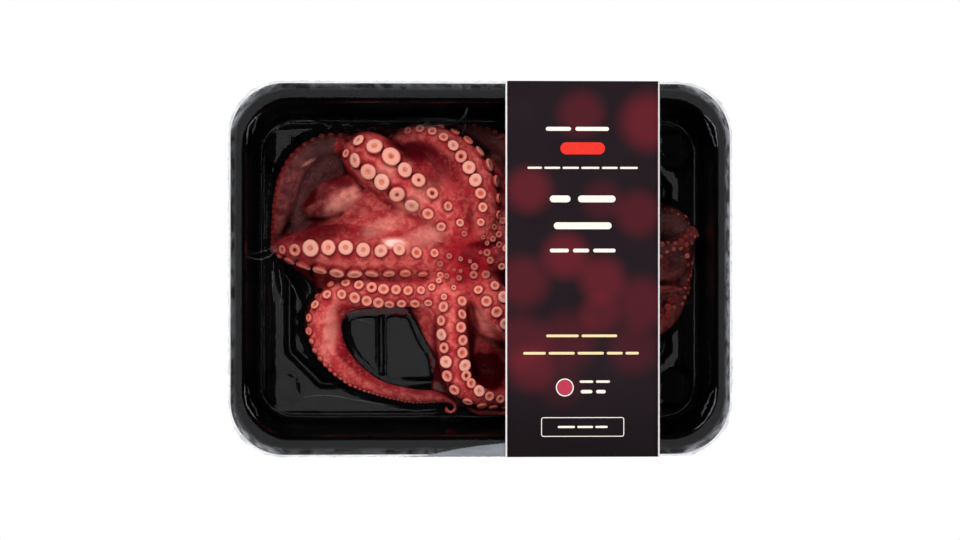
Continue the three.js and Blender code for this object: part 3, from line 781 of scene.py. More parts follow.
def height_below(tree, x, y):
    """The height in millimetres that a ray from above finds at a place, and 0 beside the mesh."""
    hit = tree.ray_cast(Vector((x, y, RAY_START)) * MM, Vector((0, 0, -1)))[0]
    return hit.z / MM if hit else 0


def heights_of(mesh):
    tree = ray_tree(mesh)
    heights = np.zeros(grid_x.shape)
    for i, j in np.ndindex(grid_x.shape):
        heights[i, j] = height_below(tree, MAP_X[j], MAP_Y[i])
    return heights


def slide(heights, axis, sign, bend):
    """One pass of a bowl shape along an axis: sign 1 spreads, sign -1 shrinks."""
    best = heights * sign
    reach = int(math.sqrt(2 * bend * DEEPEST_HOLLOW) / CELL)
    for step in range(1, reach + 1):
        drop = (step * CELL) ** 2 / (2 * bend)
        for way in (step, -step):
            best = np.maximum(best, np.roll(heights, way, axis) * sign - drop)
    return best * sign


def bridge(heights, bend):
    """A sheet laid over heights that can't bend more sharply than a bowl of a given radius."""
    for sign in (1, -1):
        for axis in (0, 1):
            heights = slide(heights, axis, sign, bend)
    return heights


def read_map(heights, x, y):
    """The heights at points given in millimetres, between the grid's points."""
    column = np.clip((np.asarray(x) - MAP_X[0]) / CELL, 0, len(MAP_X) - 1.001)
    row = np.clip((np.asarray(y) - MAP_Y[0]) / CELL, 0, len(MAP_Y) - 1.001)
    i, j = row.astype(int), column.astype(int)
    u, v = row - i, column - j
    near = heights[i, j] * (1 - v) + heights[i, j + 1] * v
    far = heights[i + 1, j] * (1 - v) + heights[i + 1, j + 1] * v
    return near * (1 - u) + far * u


def map_under(heights, points):
    """The heights of a map under points."""
    return read_map(heights, points[:, 0], points[:, 1])


limb_heights = np.maximum(heights_of(rough_flesh), FLESH_BOTTOM)
print("limbs reach", limb_heights.max().round(1), "mm")

# %% [markdown]
# ## Skin between the arms
# Between the arms the skin of the octopus spans like a tent, so in a few outlines a flat of skin is
# stretched from arm to arm. The limbs and the skin are closed shells that run into each other. A
# voxel remesh turns them into one skin, and smoothing gives the soft creases where they meet.

# %% Skin between the arms
FLESH_VOXEL = 0.72 * MM
SKIN_EDGE = 3
LEAST_SKIN = 0.8
SKIN_FLATS = [
    {"outline": [(-4, 6), (0, 34), (-13, 47), (-28, 48), (-42, 41), (-46, 33), (-49, 24), (-56, 18),
                 (-68, 12), (-68, 8), (-40, 3), (-12, 2)], "stiff": 7, "drop": 1.1},
    {"outline": [(-44, 44), (-58, 44), (-72, 34), (-79, 15), (-76, 8), (-62, 12), (-46, 16),
                 (-40, 26)], "stiff": 2, "drop": 4.2},
    {"outline": [(-10, 4), (-66, 5), (-67, -3), (-64, -9), (-57, -11), (-46, -11), (-10, -8)],
     "stiff": 3, "drop": 1.6},
    {"outline": [(-31, -11), (-9, -5), (-8, -47), (-10.6, -47), (-12.8, -42), (-16.2, -34.6), (-21.6, -26),
                 (-28, -16)], "stiff": 6, "drop": 0.8},
    {"outline": [(-6, -6), (-4.4, -14), (-3.2, -20), (-1.6, -27), (9, -31), (20, -31), (14, -22), (4, -10)],
     "stiff": 9, "drop": 1.2},
    {"outline": [(-58, 17), (-42, 14), (-38, 26), (-45, 32), (-51, 30), (-53, 24)], "stiff": 9, "drop": 1},
    {"outline": [(-9, -8), (0, -10), (14, -24), (14, -50), (0, -48), (-6, -38)], "stiff": 3, "drop": 4},
    {"outline": [(-4, 8), (-2, 40), (6, 48), (24, 40), (24, 8)], "stiff": 4, "drop": 2},
    {"outline": [(56, 24), (76, 22), (82, 14), (80, 2), (79, -12), (70, -24), (56, -28)],
     "stiff": 4, "drop": 1.5},
]


def reach_inside(x, y, outline):
    """How far points lie inside an outline, in millimetres, and less than 0 outside it."""
    inside = np.zeros(np.shape(x), bool)
    reach = np.full(np.shape(x), 1e9)
    for k, (x1, y1) in enumerate(outline):
        x0, y0 = outline[k - 1]
        crossing = x0 + (y - y0) * (x1 - x0) / (y1 - y0 if y1 != y0 else 1e-9)
        inside ^= ((y0 > y) != (y1 > y)) & (x < crossing)
        share = ((x - x0) * (x1 - x0) + (y - y0) * (y1 - y0)) / ((x1 - x0) ** 2 + (y1 - y0) ** 2)
        share = np.clip(share, 0, 1)
        reach = np.minimum(reach, np.hypot(x - x0 - share * (x1 - x0), y - y0 - share * (y1 - y0)))
    return np.where(inside, reach, -reach)


skin = np.full(grid_x.shape, FLESH_BOTTOM)
for flat in SKIN_FLATS:
    spanned = bridge(limb_heights, flat["stiff"]) - flat["drop"]
    share = np.sqrt(eased(reach_inside(grid_x, grid_y, flat["outline"]), 0, SKIN_EDGE))
    skin = np.maximum(skin, FLESH_BOTTOM + (spanned - FLESH_BOTTOM) * share)


def on_skin(u, v):
    x, y = u * 2 * MAP_HALF[0] - MAP_HALF[0], v * 2 * MAP_HALF[1] - MAP_HALF[1]
    return Vector((x, y, float(read_map(skin, x, y)))) * MM


bm = bmesh.new()
lay_grid(bm, len(MAP_X) - 1, len(MAP_Y) - 1, on_skin)
bare = [v for v in bm.verts if v.co.z < (FLESH_BOTTOM + LEAST_SKIN) * MM]
bmesh.ops.delete(bm, geom=bare, context="VERTS")
for part in bmesh.ops.extrude_face_region(bm, geom=bm.faces[:])["geom"]:
    if isinstance(part, bmesh.types.BMVert):
        part.co.z = FLESH_BOTTOM * MM
bm.from_mesh(rough_flesh)
flesh_mesh = applied(to_mesh(bm, "joined_flesh"), "flesh", [
    ("REMESH", {"mode": "VOXEL", "voxel_size": FLESH_VOXEL}),
    ("SMOOTH", {"factor": 0.5, "iterations": 3}),
])
print("flesh:", len(flesh_mesh.polygons), "faces")

# %% [markdown]
# ## Seating the suckers
# Where limbs run into each other, the finished skin lies a little above or below the sections that
# the suckers were placed on. A ray sent down at each sucker finds the skin. The sucker is seated
# on it, and one that lies under another arm is left out.

# %% Suckers on the finished skin
START_ABOVE = 2.4 * MM
REACH_BELOW = 1 * MM
SEAT_DEPTH = 0.25
SMALL_LIFT = 0.12 * MM
SMALL_TURN = 0.7
LIFT_RADIUS = (1.2 * MM, 2 * MM)
TURN_RADIUS = (1.4 * MM, 2.4 * MM)

skin_tree = ray_tree(flesh_mesh)
seated = []
for one in suckers:
    radius, normal = one["radius"], one["normal"]
    _, skin_normal, _, distance = skin_tree.ray_cast(one["centre"] + normal * START_ABOVE, -normal)
    if distance is None or distance > START_ABOVE + REACH_BELOW:
        continue
    buried = START_ABOVE - distance - SEAT_DEPTH * radius
    one["centre"] += normal * (buried + SMALL_LIFT * faded(radius, *LIFT_RADIUS))
    one["normal"] = normal.lerp(skin_normal, SMALL_TURN * faded(radius, *TURN_RADIUS)).normalized()
    seated.append(one)
print(len(suckers) - len(seated), "suckers lie under other flesh and are left out")
suckers = seated

# %% [markdown]
# ## What colour goes where
# The shader needs to know, at each point of the skin, whether it is on the sucker side or the
# back of an arm, how much painted shade its arm gets, and how near the closest sucker is, which
# sets the painted shade round the sucker's foot. Each point takes this from the station whose
# section lies nearest to it, and keeps it as an attribute.

# %% Skin attributes
ARM_GRAIN, WEB_GRAIN = 0.12, 0.2
AT_ONCE = 4000
MOST_ROLL = 45
SUCKER_SIDE = (36, 76)
WEB_SIDE = 0.65
RING = (1.1, 1.5)
RING_HEIGHT = 0.2


def stations_along(routes, grain):
    return [station(rows, place) for rows in routes for place in np.arange(0, len(rows) - 1, grain)]


stations = stations_along([arm["rows"] for arm in ARMS.values()], ARM_GRAIN)
arm_count = len(stations)
stations += stations_along(WEBS, WEB_GRAIN)
keys = ("x", "y", "crest", "half", "heading", "roll", "shade", "upper")
table = np.array([[at[key] for key in keys] for at in stations])
table[:, 2] -= table[:, 7]

points = coordinates(flesh_mesh) / MM
nearest = np.zeros(len(points), int)
for first in range(0, len(points), AT_ONCE):
    away = points[first:first + AT_ONCE, None, :] - table[None, :, :3]
    reach = np.sqrt((away ** 2).sum(-1)) - table[None, :, 3]
    nearest[first:first + AT_ONCE] = np.argmin(reach, axis=1)
x, y, middle, half, heading, roll, shade, upper = table[nearest].T
beside = (points[:, 0] - x) * np.sin(heading) - (points[:, 1] - y) * np.cos(heading)
above = (points[:, 2] - middle) * half / upper
angle = np.degrees(np.arctan2(beside, above))
from_middle = np.abs(wrapped(angle - np.clip(wrapped(roll), -MOST_ROLL, MOST_ROLL)))
sucker_side = np.where(nearest < arm_count, faded(from_middle, *SUCKER_SIDE), WEB_SIDE)

sucker_tree = KDTree(len(suckers))
for index, one in enumerate(suckers):
    sucker_tree.insert(one["centre"] + one["normal"] * one["radius"] * RING_HEIGHT, index)
sucker_tree.balance()
closeness = np.zeros(len(points))
for index, vert in enumerate(flesh_mesh.vertices):
    _, hit, distance = sucker_tree.find(vert.co)
    closeness[index] = distance / suckers[hit]["radius"]

set_attribute(flesh_mesh, "sucker_side", sucker_side)
set_attribute(flesh_mesh, "shade", shade)
# Painted shade round each sucker's foot, where the skin meets its stalk.
set_attribute(flesh_mesh, "shade_round_sucker", faded(closeness, *RING))
print("sucker side covers", round(float((sucker_side > 0.5).mean()), 2), "of the skin")

# %% [markdown]
# ## Sucker cups
# A sucker is a button with a rounded rim and a pit in the middle. Its half outline is spun
# round the axis once, and copies are joined into one piece at every place found above. The
# outline holds few points, because one level of subdivision rounds it.

# %% Sucker cups
FLAT_CUP = [(0.07, 0.11, 0.0), (0.22, 0.13, 0.16), (0.33, 0.21, 0.30), (0.78, 0.25, 0.60),
            (1.12, 0.16, 0.86), (1.12, -0.12, 1.0), (0.86, -0.45, 1.2)]
DEEP_CUP = [(0.1, -0.05, 0.0), (0.26, -0.02, 0.1), (0.4, 0.13, 0.24), (0.78, 0.26, 0.55),
            (1.05, 0.14, 0.86), (1.06, -0.12, 1.0), (0.84, -0.45, 1.2)]
KNOB = [(0.08, 0.24, 0.0), (0.3, 0.22, 0.5), (0.6, 0.1, 0.6), (0.85, -0.12, 0.75),
        (0.98, -0.4, 0.9), (0.8, -0.6, 1.2)]
DEEP_BELOW = 2.35
DEEP_RANGE = 0.4
KNOB_ABOVE = 0.6
KNOB_SHADE = 0.9
CUP_SIDES = 10
SMALL_SIDES = 8
SMALL_BELOW = 1.5
CUP_LIFT = 0.34


def spin_cup(outline, sides):
    """A cup as a mesh, and the ring value of each of its points."""
    bm = bmesh.new()
    profile = [bm.verts.new((radius, 0, height)) for radius, height, _ in outline]
    spokes = [bm.edges.new(pair) for pair in zip(profile, profile[1:])]
    bmesh.ops.spin(
        bm, geom=profile + spokes, axis=(0, 0, 1), cent=(0, 0, 0), angle=math.tau, steps=sides,
        use_merge=True,
    )
    bmesh.ops.remove_doubles(bm, verts=bm.verts, dist=1e-5)
    close_rims(bm)
    bmesh.ops.recalc_face_normals(bm, faces=bm.faces)
    mesh = to_mesh(bm, "cup")
    rings = [
        min(outline, key=lambda row: abs(row[0] - math.hypot(v.co.x, v.co.y)) + abs(row[1] - v.co.z))[2]
        for v in mesh.vertices
    ]
    return mesh, rings


cups = {
    "flat": spin_cup(FLAT_CUP, CUP_SIDES),
    "deep": spin_cup(DEEP_CUP, CUP_SIDES),
    "small": spin_cup(DEEP_CUP, SMALL_SIDES),
    "knob": spin_cup(KNOB, SMALL_SIDES),
}

bm = bmesh.new()
traits = ("tone", "shade", "plain", "slant")
cup_values = {name: [] for name in ("ring", "deep_cup", *traits)}
for one in suckers:
    first = len(bm.verts)
    is_deep = one["radius"] / MM < DEEP_BELOW + DEEP_RANGE * (one["tone"] - 0.5)
    kind = "deep" if is_deep else "flat"
    if one["plain"] > KNOB_ABOVE and one["shade"] < KNOB_SHADE:
        kind = "knob"
    elif one["radius"] < SMALL_BELOW * MM:
        kind = "small"
    cup_mesh, cup_rings = cups[kind]
    bm.from_mesh(cup_mesh)
    bm.verts.ensure_lookup_table()
    fresh = bm.verts[first:]
    scale = Matrix.Diagonal((one["radius"], one["radius"] * one["squash"], one["radius"], 1))
    turn = one["normal"].to_track_quat("Z", "Y").to_matrix().to_4x4() @ Matrix.Rotation(one["turn"], 4, "Z")
    place = Matrix.Translation(one["centre"] + one["normal"] * one["radius"] * CUP_LIFT)
    bmesh.ops.transform(bm, matrix=place @ turn @ scale, verts=fresh)
    cup_values["ring"] += cup_rings
    cup_values["deep_cup"] += [float(is_deep)] * len(fresh)
    for name in traits:
        cup_values[name] += [one[name]] * len(fresh)
sucker_mesh = to_mesh(bm, "suckers")
for name, values in cup_values.items():
    set_attribute(sucker_mesh, name, values)
sucker_mesh = applied(sucker_mesh, "suckers", [("SUBSURF", {"levels": 1, "render_levels": 1})])
print("suckers:", len(sucker_mesh.polygons), "faces")

# %% [markdown]
# ## The height that the film rests at
# The film can only touch what is highest. Rays from above give the height of the flesh or the
# suckers, and a formula gives the tray's floor between them, with its channel, rib and feet. The
# film bridges narrow hollows. On the floor of one open loop between the arms it is drawn quite
# flat. A second map with a wider bowl tells how deep a point of the flesh lies among its
# neighbours, which is where juice gathers and where shade is painted into the flesh.

# %% Where the film rests
FILM_BEND = 0.3
FILM_DRAW = 0.2
POCKET_BEND = 3.0
FLOOR_HALF = (84.1, 57.2)
CHANNEL_HALF = (74, 44.8)
CHANNEL_CORNER = 12.5
CHANNEL_DEPTH = 1.6
CHANNEL_EDGE = (0.2, 1.8)
RIB = {"x": -38.1, "low": -42.6, "high": 30, "width": 3.2, "height": 1.1, "slope": 0.7}
RIB_EDGE = (0.7, 1.6)
FOOT = {"x": 76.6, "y": 46.5, "radius": 7.6, "depth": 2.3, "edge": 0.55}
FOOT_DIP = {"depth": 0.35, "inner": 2.4, "outer": 0.4}
BEND = {"left": 6.0, "right": 15.0, "front": 1.4, "back": 3.0}
RIGHT_BAND = {"middle": 3.4, "edge": (2.3, 3.1), "start_x": 40, "rise": 2.3, "rise_x": (56, 70)}
SEAM = {"inset": 0.5, "width": 0.35, "height": 0.2}
BARE_LOOP = [(-53, -15), (-29, -10), (-15.5, -36), (-17.5, -45), (-32, -48), (-49, -38)]
LIFTED = (0.06, 0.3)
LOOP_EDGE = 1.5


def outside_channel(x, y):
    """How far a place lies outside the middle line of the channel, and less than 0 inside it."""
    across_corner = (np.abs(x) + np.abs(y) - sum(CHANNEL_HALF) + CHANNEL_CORNER) / math.sqrt(2)
    return np.maximum.reduce([np.abs(x) - CHANNEL_HALF[0], np.abs(y) - CHANNEL_HALF[1], across_corner])


def from_foot(x, y):
    return np.hypot(np.abs(x) - FOOT["x"], np.abs(y) - FOOT["y"])


def film_floor(x, y):
    """Where the film lies over the bare floor: in the channel, over the rib, off the wall's foot."""
    beyond = outside_channel(x, y)
    z = TRAY_FLOOR - CHANNEL_DEPTH * faded(np.abs(beyond), *CHANNEL_EDGE)
    along_rib = (y > RIB["low"]) & (y < RIB["high"])
    z += RIB["height"] * faded(np.abs(x - RIB["x"]), *RIB_EDGE) * along_rib
    dip_edge = (FOOT["radius"] - FOOT_DIP["inner"], FOOT["radius"] + FOOT_DIP["outer"])
    z -= FOOT_DIP["depth"] * faded(from_foot(x, y), *dip_edge)
    gap_x, gap_y = FLOOR_HALF[0] - np.abs(x), FLOOR_HALF[1] - np.abs(y)
    for gap, bend in (
        (gap_x, np.where(x < 0, BEND["left"], BEND["right"])),
        (gap_y, np.where(y < 0, BEND["front"], BEND["back"])),
    ):
        into = np.clip(1 - gap / bend, 0, 1)
        z += bend * (1 - np.sqrt(1 - into ** 2))
    band = faded(np.abs(beyond - RIGHT_BAND["middle"]), *RIGHT_BAND["edge"]) * (x > RIGHT_BAND["start_x"])
    z = z * (1 - band) + (TRAY_FLOOR + RIGHT_BAND["rise"] * eased(x, *RIGHT_BAND["rise_x"])) * band
    seam = (np.minimum(gap_x, gap_y) - SEAM["inset"]) / SEAM["width"]
    return z + SEAM["height"] * np.exp(-seam ** 2)


def grown(heights):
    """A height map in which each place is at least as high as its four neighbours."""
    grown_map = heights
    for axis in (0, 1):
        for way in (1, -1):
            grown_map = np.maximum(grown_map, np.roll(heights, way, axis))
    return grown_map


contents = np.maximum(heights_of(flesh_mesh), heights_of(sucker_mesh))
covered = np.maximum(contents, film_floor(grid_x, grid_y))
wide = np.maximum(covered, grown(contents))
stretched = wide + np.maximum(bridge(wide, FILM_BEND) - wide - FILM_DRAW, 0)
for axis in (0, 1, 0, 1):
    stretched = (np.roll(stretched, 1, axis) + 2 * stretched + np.roll(stretched, -1, axis)) / 4
lifted = stretched - film_floor(grid_x, grid_y)
drawn_flat = np.where(contents > 0, 0, eased(lifted, *LIFTED))
drawn_flat *= eased(reach_inside(grid_x, grid_y, BARE_LOOP), 0, LOOP_EDGE)
pockets = bridge(np.maximum(contents, TRAY_FLOOR), POCKET_BEND)
print("film heights:", stretched.min().round(1), "to", stretched.max().round(1), "mm")

# %% [markdown]
# ## Juice, painted shade and painted highlights on the skin
# Juice and painted shade darken the skin where it lies deep among its neighbours, round the mouth,
# towards the right end, and in pools and patches of their own: the creases between the arms are
# painted dark where shade falls. Some places are painted paler, and the strongest of them are
# painted highlights. Each place is a soft ellipse: x, y, two radii, a turn in degrees and a
# strength. The pools keep to the low parts of the skin.

# %% Juice, painted shade and pale places
# Juice and painted shade: dark pools in the hollows between the arms, kept to the low parts.
DARK_POOLS = [
    (-27, 46, 14, 6, -10, 0.9), (-17, 37, 9, 5, 60, 0.55), (-62, 14.5, 13, 4, 8, 0.8),
    (-66, 17, 7, 4, 20, 0.6), (3.5, -40, 9.5, 11.5, 0, 1.4), (-4.6, -20, 1.8, 10, 6, 0.8),
    (-56, -4, 10, 3, 0, 0.7), (-36, -3.5, 14, 2.4, 0, 0.45), (-58, 37, 8, 5, -30, 0.9),
    (-66, 27, 4, 9, -15, 0.9), (-52, 34, 5, 4, 0, 0.7), (2, 50, 10, 8, 0, 0.9),
    (-14, -40, 3, 9, -20, 0.5), (-2, 24, 4, 12, 0, 0.35), (-48, 21, 5, 3, 30, 0.35),
]
# Painted shade: dark patches in the creases between the arms and round the mouth.
DARK_PATCHES = [
    (8, 1, 6, 9.5, 0, 0.6), (2, 9.5, 9, 2.4, 5, 0.8), (-6.5, -3, 2.6, 3.2, 0, 0.5),
    (-63, 13, 13, 3.4, 8, 0.75), (-57, -3.6, 10, 2.6, -6, 0.75),
]
# Paler skin, and painted highlights: the strongest spot, above the suckers of the left arm, and the lobe's
# lit end.
PALE_SPOTS = [
    (-33, 9.8, 6.4, 2.6, -4, 1.1), (-53, 26.5, 9, 3.6, 34, 0.5), (-66, 41.5, 3.4, 0.9, 30, 0.5),
    (-22, 12, 10, 5, 20, 0.4), (-58, -24, 3.4, 12, -8, 0.4), (2.4, -22, 9, 3, -62, 0.3),
    (-38, 16, 10, 4, 20, 0.35), (-24, 27, 12, 4, 38, 0.3), (-36, 37, 7, 4, 38, 0.3),
]
SPOT_EDGE = (0.35, 1.15)
SPOT_GRAIN = 0.22
POCKET_DEPTH = (0.5, 5.8)
LOW_OVER_SKIN = (0.3, 2.5)
LOW_IN_PACK = (9.5, 14)
TURNED_AWAY = (0.2, 0.9)
MOUTH_JUICE_AND_SHADE = {"edge": (2, 7), "strength": 0.6}
MOUTH_CRIMSON = (6, 15)
DIM_END = {"x": (54, 60), "strength": 0.15}


def in_spots(points, spots):
    """How strongly each point lies in any of a list of soft ellipses."""
    strongest = np.zeros(len(points))
    uneven = np.array([1 + 0.3 * noise.noise(Vector(point) * SPOT_GRAIN) for point in points])
    for x, y, long, short, turn, strength in spots:
        turn = math.radians(turn)
        ahead = (points[:, 0] - x) * math.cos(turn) + (points[:, 1] - y) * math.sin(turn)
        aside = (points[:, 1] - y) * math.cos(turn) - (points[:, 0] - x) * math.sin(turn)
        away = np.hypot(ahead / long, aside / short) * uneven
        strongest = np.maximum(strongest, strength * faded(away, *SPOT_EDGE))
    return strongest


depth = map_under(pockets, points) - points[:, 2]
from_mouth = np.hypot(points[:, 0] - MOUTH[0], points[:, 1] - MOUTH[1])
low_part = 0.1 + 0.9 * np.maximum.reduce([
    faded(points[:, 2] - map_under(skin, points), *LOW_OVER_SKIN),
    faded(points[:, 2], *LOW_IN_PACK),
    faded(sucker_side, *TURNED_AWAY),
])
# Juice stain and painted shade together: deep hollows, the mouth, pools, crease patches and the dimmer right
# end.
sunk = np.maximum.reduce([
    eased(depth, *POCKET_DEPTH),
    MOUTH_JUICE_AND_SHADE["strength"] * faded(from_mouth, *MOUTH_JUICE_AND_SHADE["edge"]),
    in_spots(points, DARK_POOLS) * low_part,
    in_spots(points, DARK_PATCHES),
    DIM_END["strength"] * eased(points[:, 0], *DIM_END["x"]),
])
set_attribute(flesh_mesh, "sunk", sunk)
set_attribute(flesh_mesh, "pale", in_spots(points, PALE_SPOTS))
set_attribute(flesh_mesh, "crimson", faded(from_mouth, *MOUTH_CRIMSON))
print("juice darkens", round(float((sunk > 0.5).mean()), 2), "of the skin")

# %% [markdown]
# ## Flesh material
# Cooked octopus is salmon pink where the suckers are, and deep red on the flanks where the skin
# has kept its colour. It is almost black red in the creases, where juice gathers and shade is
# painted in. Painted shade also turns the arms deep in the pack brown and darkens the skin round
# each sucker's foot, and a few pale spots are painted highlights. Light enters it a little, which
# the subsurface share shows, and the skin is wet.

# %% Flesh material
# Some of these colours are painted light: the browns and the darkest reds are painted shade, and the palest
# is a painted highlight.
FLESH = {
    "salmon": srgb(210, 100, 93), "rose": srgb(164, 46, 50),
    "red skin": srgb(160, 42, 48), "deep red skin": srgb(104, 12, 20),
    "red grain": srgb(140, 22, 32), "pink streak": srgb(226, 124, 112),
    "brown": srgb(88, 46, 46), "dark brown": srgb(40, 14, 17), "shade at sucker foot": srgb(120, 22, 28),
    "pale": srgb(228, 146, 132), "stretched": srgb(246, 206, 198), "crimson": srgb(138, 8, 24),
    "juice_and_shade": srgb(62, 1, 5), "deep juice and shade": srgb(24, 1, 3),
    "shaded_wrinkles": srgb(72, 46, 45), "dark shaded wrinkles": srgb(50, 12, 16),
}

flesh_material, tree = start_material("octopus_flesh")
shade, pale, sunk = (attribute(tree, name) for name in ("shade", "pale", "sunk"))
mottle = speckle(tree, 9 * MM, detail=4)
grain = speckle(tree, 1.3 * MM, detail=5, roughness=0.65)
streak = speckle(tree, 3 * MM, detail=4, roughness=0.6, distortion=1.5)
patches = speckle(tree, 3.6 * MM, detail=5, roughness=0.62, distortion=0.4)
wrinkle = speckle(tree, 1.5 * MM, detail=5, roughness=0.7, distortion=2.5)
wave = times(tree, maths(tree, "SUBTRACT", mottle, 0.5), 0.9)
wavy_side = maths(tree, "ADD", attribute(tree, "sucker_side"), wave, clamp=True)
flank = mix(tree, fade(tree, mottle, 0.3, 0.7), FLESH["deep red skin"], FLESH["red skin"])
front = mix(tree, fade(tree, patches, 0.38, 0.66), FLESH["rose"], FLESH["salmon"])
dark = mix(tree, fade(tree, patches, 0.35, 0.7), FLESH["dark brown"], FLESH["brown"])
# Painted shade with the real wrinkles: the skin of the arms deepest in the pack turns dark and grey.
shaded_wrinkles = mix(tree, fade(tree, wrinkle, 0.4, 0.6), FLESH["dark shaded wrinkles"], FLESH["shaded_wrinkles"])
color = layered(tree, flank, [
    (wavy_side, front),
    (fade(tree, grain, 0.42, 0.75, 0, 0.45), FLESH["red grain"]),
    (fade(tree, streak, 0.5, 0.75, 0, 0.35), FLESH["pink streak"]),
    # Painted shade: arms that lie deep in the pack are darkened towards brown.
    (shade, dark),
    # Painted shade round the foot of each sucker.
    (times(tree, attribute(tree, "shade_round_sucker"), 0.75), FLESH["shade at sucker foot"]),
    (times(tree, pale, fade(tree, patches, 0.3, 0.6, 0.6, 1.0), clamp=True), FLESH["pale"]),
    # Painted highlight: where the pale spots are strongest the skin turns almost white.
    (fade(tree, pale, 0.75, 1.2, 0, 0.9), FLESH["stretched"]),
    (times(tree, attribute(tree, "crimson"), 0.85), FLESH["crimson"]),
    # Juice and painted shade in the creases and hollows.
    (sunk, FLESH["juice_and_shade"]),
    (fade(tree, sunk, 0.8, 1, 0, 0.6), FLESH["deep juice and shade"]),
    # Painted shade on the arms deepest in the pack, over the wrinkle pattern.
    (fade(tree, shade, 0.88, 1.05, 0, 0.8), shaded_wrinkles),
])
normal = bump(tree, speckle(tree, 0.9 * MM, detail=4, stretch=(1, 1, 0.4)), 0.16 * MM)
normal = bump(tree, grain, 0.3 * MM, normal)
normal = bump(tree, mottle, 0.5 * MM, normal)
finish_solid(tree, {
    "Base Color": color,
    "Roughness": 0.5,
    "Normal": normal,
    "Subsurface Weight": 0.1,
    "Subsurface Radius": (1.0, 0.2, 0.1),
    "Subsurface Scale": 2 * MM,
    "Specular IOR Level": 0.06,
})
make_piece("octopus_flesh", flesh_mesh, flesh_material, "octopus")

# %% [markdown]
# ## Sucker material
# Seen close, a sucker is pale pink on its broad rim and orange towards the pit, which is dark, and
# in some cups painted near black as painted shade in the hole. Its outer wall is peach at the rim
# and turns dark red lower down, partly the red of the skin and partly painted shade under the rim.
# The ring attribute runs from the pit outwards, and gives each zone its colour.

# %% Sucker material
# From the pit out: the darkest stops below the rim are partly painted shade under its overhang.
CUP_ZONES = [
    (0.0, srgb(176, 92, 72)),
    (0.05, srgb(202, 124, 102)),
    (0.13, srgb(206, 130, 110)),
    (0.19, srgb(180, 88, 68)),
    (0.26, srgb(214, 150, 135)),
    (0.60, srgb(216, 155, 141)),
    (0.68, srgb(200, 122, 110)),
    (0.76, srgb(150, 48, 46)),
    (1.0, srgb(104, 14, 20)),
]
CUP = {
    "warm": srgb(214, 118, 98), "rosy": srgb(206, 104, 92), "pit wall": srgb(168, 70, 52),
    "orange": srgb(196, 94, 68), "fleshy": srgb(180, 74, 68), "in shade": srgb(92, 26, 27),
    "lit rim": srgb(176, 96, 86), "dim rim": srgb(92, 24, 24), "black red": srgb(44, 6, 8),
    "pit": srgb(70, 22, 18), "speck": srgb(196, 96, 72),
}

sucker_material, tree = start_material("octopus_suckers")
tone, shade, deep_cup = (attribute(tree, name) for name in ("tone", "shade", "deep_cup"))
wander = times(tree, maths(tree, "SUBTRACT", speckle(tree, 1.5 * MM), 0.5), 0.16)
ring = maths(tree, "DIVIDE", maths(tree, "ADD", attribute(tree, "ring"), wander), 1.25, clamp=True)
rim = mix(tree, tone, CUP["dim rim"], CUP["lit rim"])
# Painted shade: on the arms deepest in the pack a cup's inside goes black red within its lit or dim rim.
shaded_cup = mix(tree, fade(tree, ring, 0.45, 0.65), rim, CUP["black red"])
color = layered(tree, ramp(tree, ring, CUP_ZONES), [
    (times(tree, tone, 0.3), CUP["warm"]),
    (times(tree, deep_cup, 0.4), CUP["rosy"]),
    (times(tree, deep_cup, fade(tree, ring, 0.08, 0.24, 0.8, 0)), CUP["pit wall"]),
    (times(tree, attribute(tree, "slant"), fade(tree, ring, 0.3, 0.45, 0.8, 0)), CUP["orange"]),
    (times(tree, attribute(tree, "plain"), 0.9), CUP["fleshy"]),
    (fade(tree, shade, 0.1, 0.9, 0, 0.96), CUP["in shade"]),
    # Painted shade for cups on the arms deepest in the pack.
    (fade(tree, shade, 0.9, 1.1, 0, 0.8), shaded_cup),
    # Painted shade: some cups get a near black pit.
    (times(tree, fade(tree, tone, 0.86, 0.9), fade(tree, ring, 0.1, 0.16, 0.85, 0)), CUP["pit"]),
    (fade(tree, speckle(tree, 0.8 * MM, detail=2), 0.62, 0.8, 0, 0.5), CUP["speck"]),
])
finish_solid(tree, {
    "Base Color": color,
    "Roughness": 0.45,
    "Normal": bump(tree, speckle(tree, 0.5 * MM, detail=2), 0.06 * MM),
    "Subsurface Weight": 0.1,
    "Subsurface Radius": (1.0, 0.35, 0.2),
    "Subsurface Scale": 1 * MM,
    "Specular IOR Level": 0.08,
})
make_piece("octopus_suckers", sucker_mesh, sucker_material, "octopus")

# %% [markdown]
# ## Tray sheet
# The tray is formed from one black sheet. A ring at the rim is carried inwards and down, row by
# row, over the flange, down the wall, across the floor and through the eight-sided channel.
# The feet and the lugs are pressed into the sheet afterwards, and a thickness is added last.

# %% Tray rings
TRAY_HALF = (95, 70.5)
TRAY_CORNER = 20.5
TRAY_STEPS = {"corner": 24, "long": 34, "short": 24}
FLANGE = [
    (0, 0, 0, 32.4), (0, 0, 0, 33.0), (0.12, 0.12, 0.1, 33.4), (0.5, 0.5, 0.5, 33.6), (2.4, 3, 1.5, 33.6),
    (4.1, 5.3, 2.3, 33.6), (4.75, 5.95, 2.7, 33.45), (5.2, 6.4, 3.0, 33.0), (5.5, 6.8, 3.2, 32.2),
]
FOOT_OF_WALL = [
    (7.75, 9.95, 6.0, 7.2), (7.95, 10.2, 6.3, 5.8), (8.3, 10.6, 6.7, 4.8), (8.95, 11.3, 7.4, 4.0),
    (9.8, 12.2, 8.3, 3.45), (10.9, 13.3, 9.3, TRAY_FLOOR),
]
WALL_ROWS = 16
FLOOR_ROWS = 26
CHANNEL_PROFILE = [(2.1, 0), (1.75, 0.15), (1.4, 0.6), (0.9, 1.15), (0.3, 1.6), (-0.3, 1.6),
                   (-0.9, 1.15), (-1.4, 0.6), (-1.75, 0.15), (-2.1, 0)]


